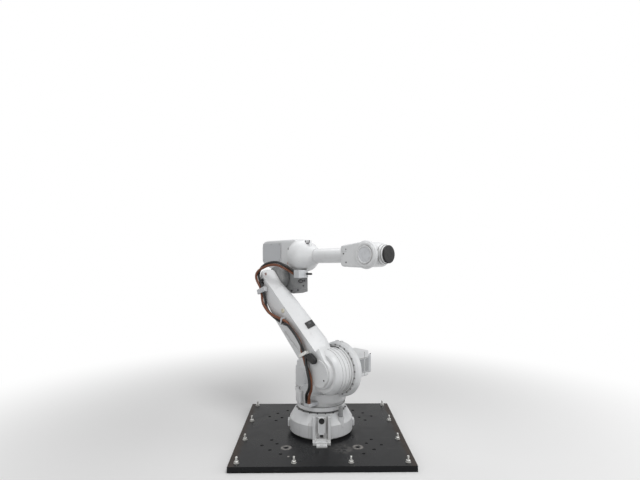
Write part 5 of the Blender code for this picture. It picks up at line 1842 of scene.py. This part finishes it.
@dataclass
class Harness:
    """The brown and the black cable that run up the arm."""

    plane: float = -0.222
    radius: float = 0.0104
    pitch: float = 0.0225
    clamp: Pair = (-0.017, 0.181)
    clamp_tilt: float = 14.0
    clip: Pair = (-0.052, 0.508)
    clip_tilt: float = -33.0
    bracket: Pair = (-0.090, 0.846)
    bracket_tilt: float = 22.0
    fineness: float = 0.005
    sleeve_points: int = 8
    sleeve_wall: float = 0.0016

    def held(self, place: Pair, tilt: float, gaps: Sequence[float]) -> list[Vector]:
        """Places on the cables' line before or after a clamp on the lower arm.

        Args:
            place: the clamp's (x, z) on the lower arm.
            tilt: the cables' lean there in degrees.
            gaps: metres past the clamp's middle.

        Returns:
            The points in the row frame.
        """
        lean = math.radians(tilt)
        return [
            AXIS_2 @ Vector((place[0] + gap * math.sin(lean), self.plane, place[1] + gap * math.cos(lean)))
            for gap in gaps
        ]

    def shoulder_line(self) -> list[Vector]:
        """The loop from the gland to the metal clamp."""
        low = [(0.076, -0.212, 0.2640), (0.076, -0.212, 0.2846), (0.087, -0.223, 0.328)]
        low += [(0.114, -0.227, 0.379), (0.120, -0.231, 0.432), (0.104, -0.231, 0.488)]
        points = [AXIS_1 @ Vector(p) for p in low]
        points.append(AXIS_2 @ Vector((-0.043, -0.226, 0.108)))
        return points + self.held(self.clamp, self.clamp_tilt, (-0.0293, -0.0133, -0.002))

    def arm_line(self) -> list[Vector]:
        """The stretch from the metal clamp to the middle clip."""
        points = self.held(self.clamp, self.clamp_tilt, (-0.002, 0.0133, 0.0273))
        middle = ((0.010, 0.255), (0.008, 0.339), (-0.010, 0.430))
        points += [AXIS_2 @ Vector((x, self.plane - 0.003, z)) for x, z in middle]
        return points + self.held(self.clip, self.clip_tilt, (-0.0283, -0.0083, 0.001))

    def upper_line(self) -> list[Vector]:
        """The stretch from the middle clip to the upper bracket."""
        points = self.held(self.clip, self.clip_tilt, (-0.001, 0.0083, 0.0283))
        middle = ((-0.090, 0.565), (-0.134, 0.650), (-0.138, 0.735))
        points += [AXIS_2 @ Vector((x, self.plane, z)) for x, z in middle]
        return points + self.held(self.bracket, self.bracket_tilt, (-0.0403, -0.0203, 0.002))

    def elbow_line(self) -> list[Vector]:
        """The loop from the upper bracket over the elbow to the connector block."""
        points = self.held(self.bracket, self.bracket_tilt, (-0.002, 0.0203, 0.0363))
        over = [(-0.090, self.plane, 0.008), (-0.062, self.plane, 0.066), (0.025, -0.215, 0.108)]
        over += [(0.125, -0.196, 0.118), (0.190, -0.150, 0.086), (0.232, -0.112, 0.050)]
        over += [(0.256, -0.100, 0.036)]
        return points + [AXIS_3 @ Vector(p) for p in over]

    def stretches(self) -> list[Stretch]:
        """The four stretches, each with the bodies that it joins."""
        arm = (Body.LOWER_ARM,)
        low_bodies = (Body.SHOULDER, Body.LOWER_ARM)
        high_bodies = (Body.LOWER_ARM, Body.UPPER_ARM)
        return [
            Stretch("shoulder", self.shoulder_line(), low_bodies, (0.0, -100.0, -180.0), 0.05),
            Stretch("lower_arm", self.arm_line(), arm, (-180.0, -124.0, 0.0), 0.22),
            Stretch("upper_stretch", self.upper_line(), arm, (0.0, 62.0, 180.0)),
            Stretch("elbow", self.elbow_line(), high_bodies, (180.0, 22.0, 0.0)),
        ]

    def smooth(self, points: Sequence[Vector]) -> list[Vector]:
        """Runs a smooth curve through the points.

        Args:
            points: the curve's points.

        Returns:
            Points a few millimetres apart.
        """
        ends = [points[0] * 2.0 - points[1], *points, points[-1] * 2.0 - points[-2]]
        line = []
        for before, first, second, after in zip(ends, ends[1:], ends[2:], ends[3:]):
            count = max(2, round((second - first).length / self.fineness))
            for number in range(count):
                t = number / count
                line.append(
                    0.5
                    * (
                        2.0 * first
                        + (second - before) * t
                        + (2.0 * before - 5.0 * first + 4.0 * second - after) * t * t
                        + (3.0 * first - 3.0 * second + after - before) * t**3
                    )
                )
        line.append(points[-1])
        return line

    def beside(self, line: Sequence[Vector], side: float, stretch: Stretch) -> list[Vector]:
        """Moves a line sideways by half the pitch, with the stretch's twist along the way.

        Args:
            line: the pair's middle line.
            side: 1 or -1.
            stretch: the stretch.

        Returns:
            One cable's line.
        """
        moved = []
        for number, point in enumerate(line):
            ahead = line[min(number + 1, len(line) - 1)] - line[max(number - 1, 0)]
            across = ahead.cross(LEFT).normalized()
            turn = stretch.turn_at(number / (len(line) - 1))
            way = across * math.cos(turn) + LEFT * math.sin(turn)
            moved.append(point + way * (side * self.pitch / 2.0))
        return moved

    def build_jacket(
        self, shop: Workshop, stretch: Stretch, line: list[Vector], colour: str, slot: Slot
    ) -> None:
        """Builds one cable's stretch on its body; a stretch that joins two bodies is left in place on
        neither.

        Args:
            shop: the workshop.
            stretch: the stretch.
            line: the cable's line.
            colour: the cable's colour in the pieces' names.
            slot: its finish.
        """
        form = Form().swept(line, self.radius)
        if Body.SHOULDER in stretch.bodies:
            form.swept(line[: self.sleeve_points], self.radius + self.sleeve_wall)
        name = f"{colour}_jacket_{stretch.label}"
        node = f"{colour}_cable_{stretch.label}"
        if len(stretch.bodies) == 1:
            shop.fit(form, name, stretch.bodies[0], slot, 0.0, 50.0, (node,))
            return
        cable = form.object(name, sharp=50.0)
        cable.modifiers.clear()
        cable.data.materials.append(shop.coat(slot))
        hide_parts(node)
        first, second = stretch.bodies
        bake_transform(cable)
        LOG.info("%s bends between %s and %s", cable.name, first.value, second.value)

    def build(self, shop: Workshop) -> None:
        """Builds both cables in their four stretches."""
        for stretch in self.stretches():
            middle = self.smooth(stretch.points)
            for colour, slot, side in (("brown", Slot.BROWN, -1.0), ("black", Slot.BLACK, 1.0)):
                self.build_jacket(shop, stretch, self.beside(middle, side, stretch), colour, slot)


@dataclass(frozen=True)
class Lamp:
    """A soft square lamp."""

    name: str
    spot: Triple
    size: float
    power: float


@dataclass
class Studio:
    """The pale floor, the soft lamps and the camera."""

    floor_side: float = 60.0
    floor_colour: Triple = (0.80, 0.80, 0.80)
    fade_from: float = 1.25
    fade_to: float = 3.8
    eye: Triple = (-0.06, -3.525, 1.385)
    tilt: float = 91.95
    pan: float = -0.84
    lens: float = 25.3125
    film: float = 36.0
    sky: float = 0.33
    aim: Triple = (0.0, 0.0, 0.8)
    lamps: tuple[Lamp, ...] = (
        Lamp("key", (1.1, -2.1, 4.7), 1.8, 112.0),
        Lamp("side", (4.2, -0.6, 2.2), 2.2, 34.0),
        Lamp("fill", (-3.2, -3.4, 2.2), 2.6, 26.0),
        Lamp("top", (-0.6, 1.4, 4.4), 2.6, 37.0),
    )

    def build_floor(self) -> None:
        """Builds the floor, which fades to the white background far off."""
        half = self.floor_side / 2.0
        outline = [(-half, -half), (half, -half), (half, half), (-half, half)]
        floor = Form().slab(FLOOR, outline, -0.02, 0.0).object("pale_floor")
        floor.modifiers.clear()
        material = bpy.data.materials.new("pale_floor")
        material.use_nodes = True
        material.node_tree.nodes.clear()
        tree = Tree(material.node_tree)
        place = tree.object_place()
        far = tree.gap_to(place, (0.0, 0.0, 0.0)).rise(self.fade_from, self.fade_to)
        seen = tree.node("ShaderNodeLightPath", output="Is Camera Ray")
        mirrored = tree.node("ShaderNodeLightPath", output="Is Glossy Ray")
        matte = tree.node("ShaderNodeBsdfDiffuse", None, {"Color": (*self.floor_colour, 1.0)})
        white = tree.node("ShaderNodeEmission", None, {"Color": (1.0, 1.0, 1.0, 1.0), "Strength": 1.0})
        share = (far * seen.most(mirrored)).held()
        mixed = tree.node("ShaderNodeMixShader", None, {0: share, 1: matte, 2: white})
        tree.node("ShaderNodeOutputMaterial", None, {"Surface": mixed})
        floor.data.materials.append(material)

    def build_world(self) -> None:
        """Builds the soft surroundings, white where the camera sees them."""
        world = bpy.data.worlds.new("soft_room")
        bpy.context.scene.world = world
        world.use_nodes = True
        world.node_tree.nodes.clear()
        tree = Tree(world.node_tree)
        ray = tree.node("ShaderNodeLightPath", output="Is Camera Ray")
        mirrored = tree.node("ShaderNodeLightPath", output="Is Glossy Ray")
        through = tree.node("ShaderNodeLightPath", output="Is Transmission Ray")
        seen = ray.most(mirrored * 0.45).most(through)
        strength = self.sky + seen * (1.0 - self.sky)
        back = tree.node("ShaderNodeBackground", None, {"Color": (1.0, 1.0, 1.0, 1.0), "Strength": strength})
        tree.node("ShaderNodeOutputWorld", None, {"Surface": back})

    def build_lamp(self, lamp: Lamp) -> None:
        """Hangs one lamp and points it at the arm."""
        light = bpy.data.lights.new(lamp.name, "AREA")
        light.shape = "SQUARE"
        light.size = lamp.size
        light.energy = lamp.power
        hung = bpy.data.objects.new(lamp.name, light)
        hung.location = lamp.spot
        way = Vector(self.aim) - Vector(lamp.spot)
        hung.rotation_euler = way.to_track_quat("-Z", "Y").to_euler()
        bpy.context.scene.collection.objects.link(hung)

    def build_camera(self) -> None:
        """Builds the camera at the photograph's place."""
        data = bpy.data.cameras.new("view")
        data.sensor_width = self.film
        data.lens = self.lens
        data.clip_end = 200.0
        camera = bpy.data.objects.new("view", data)
        camera.location = self.eye
        camera.rotation_euler = (math.radians(self.tilt), 0.0, math.radians(self.pan))
        bpy.context.scene.collection.objects.link(camera)
        bpy.context.scene.camera = camera

    def build(self) -> None:
        """Builds the whole studio."""
        self.build_floor()
        self.build_world()
        for lamp in self.lamps:
            self.build_lamp(lamp)
        self.build_camera()
        bpy.context.scene.view_settings.view_transform = "Standard"


def main() -> None:
    """Loads the frame and builds the arm's pieces and the studio."""
    logging.basicConfig(level=logging.INFO, format="%(message)s", stream=sys.stdout)
    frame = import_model()
    shop = Workshop(frame)
    for part in (FloorPlate(), Base(), Shoulder(), LowerArm(), UpperArm(), Wrist(), Harness()):
        part.build(shop)
    Studio().build()


if __name__ == "__main__":
    main()
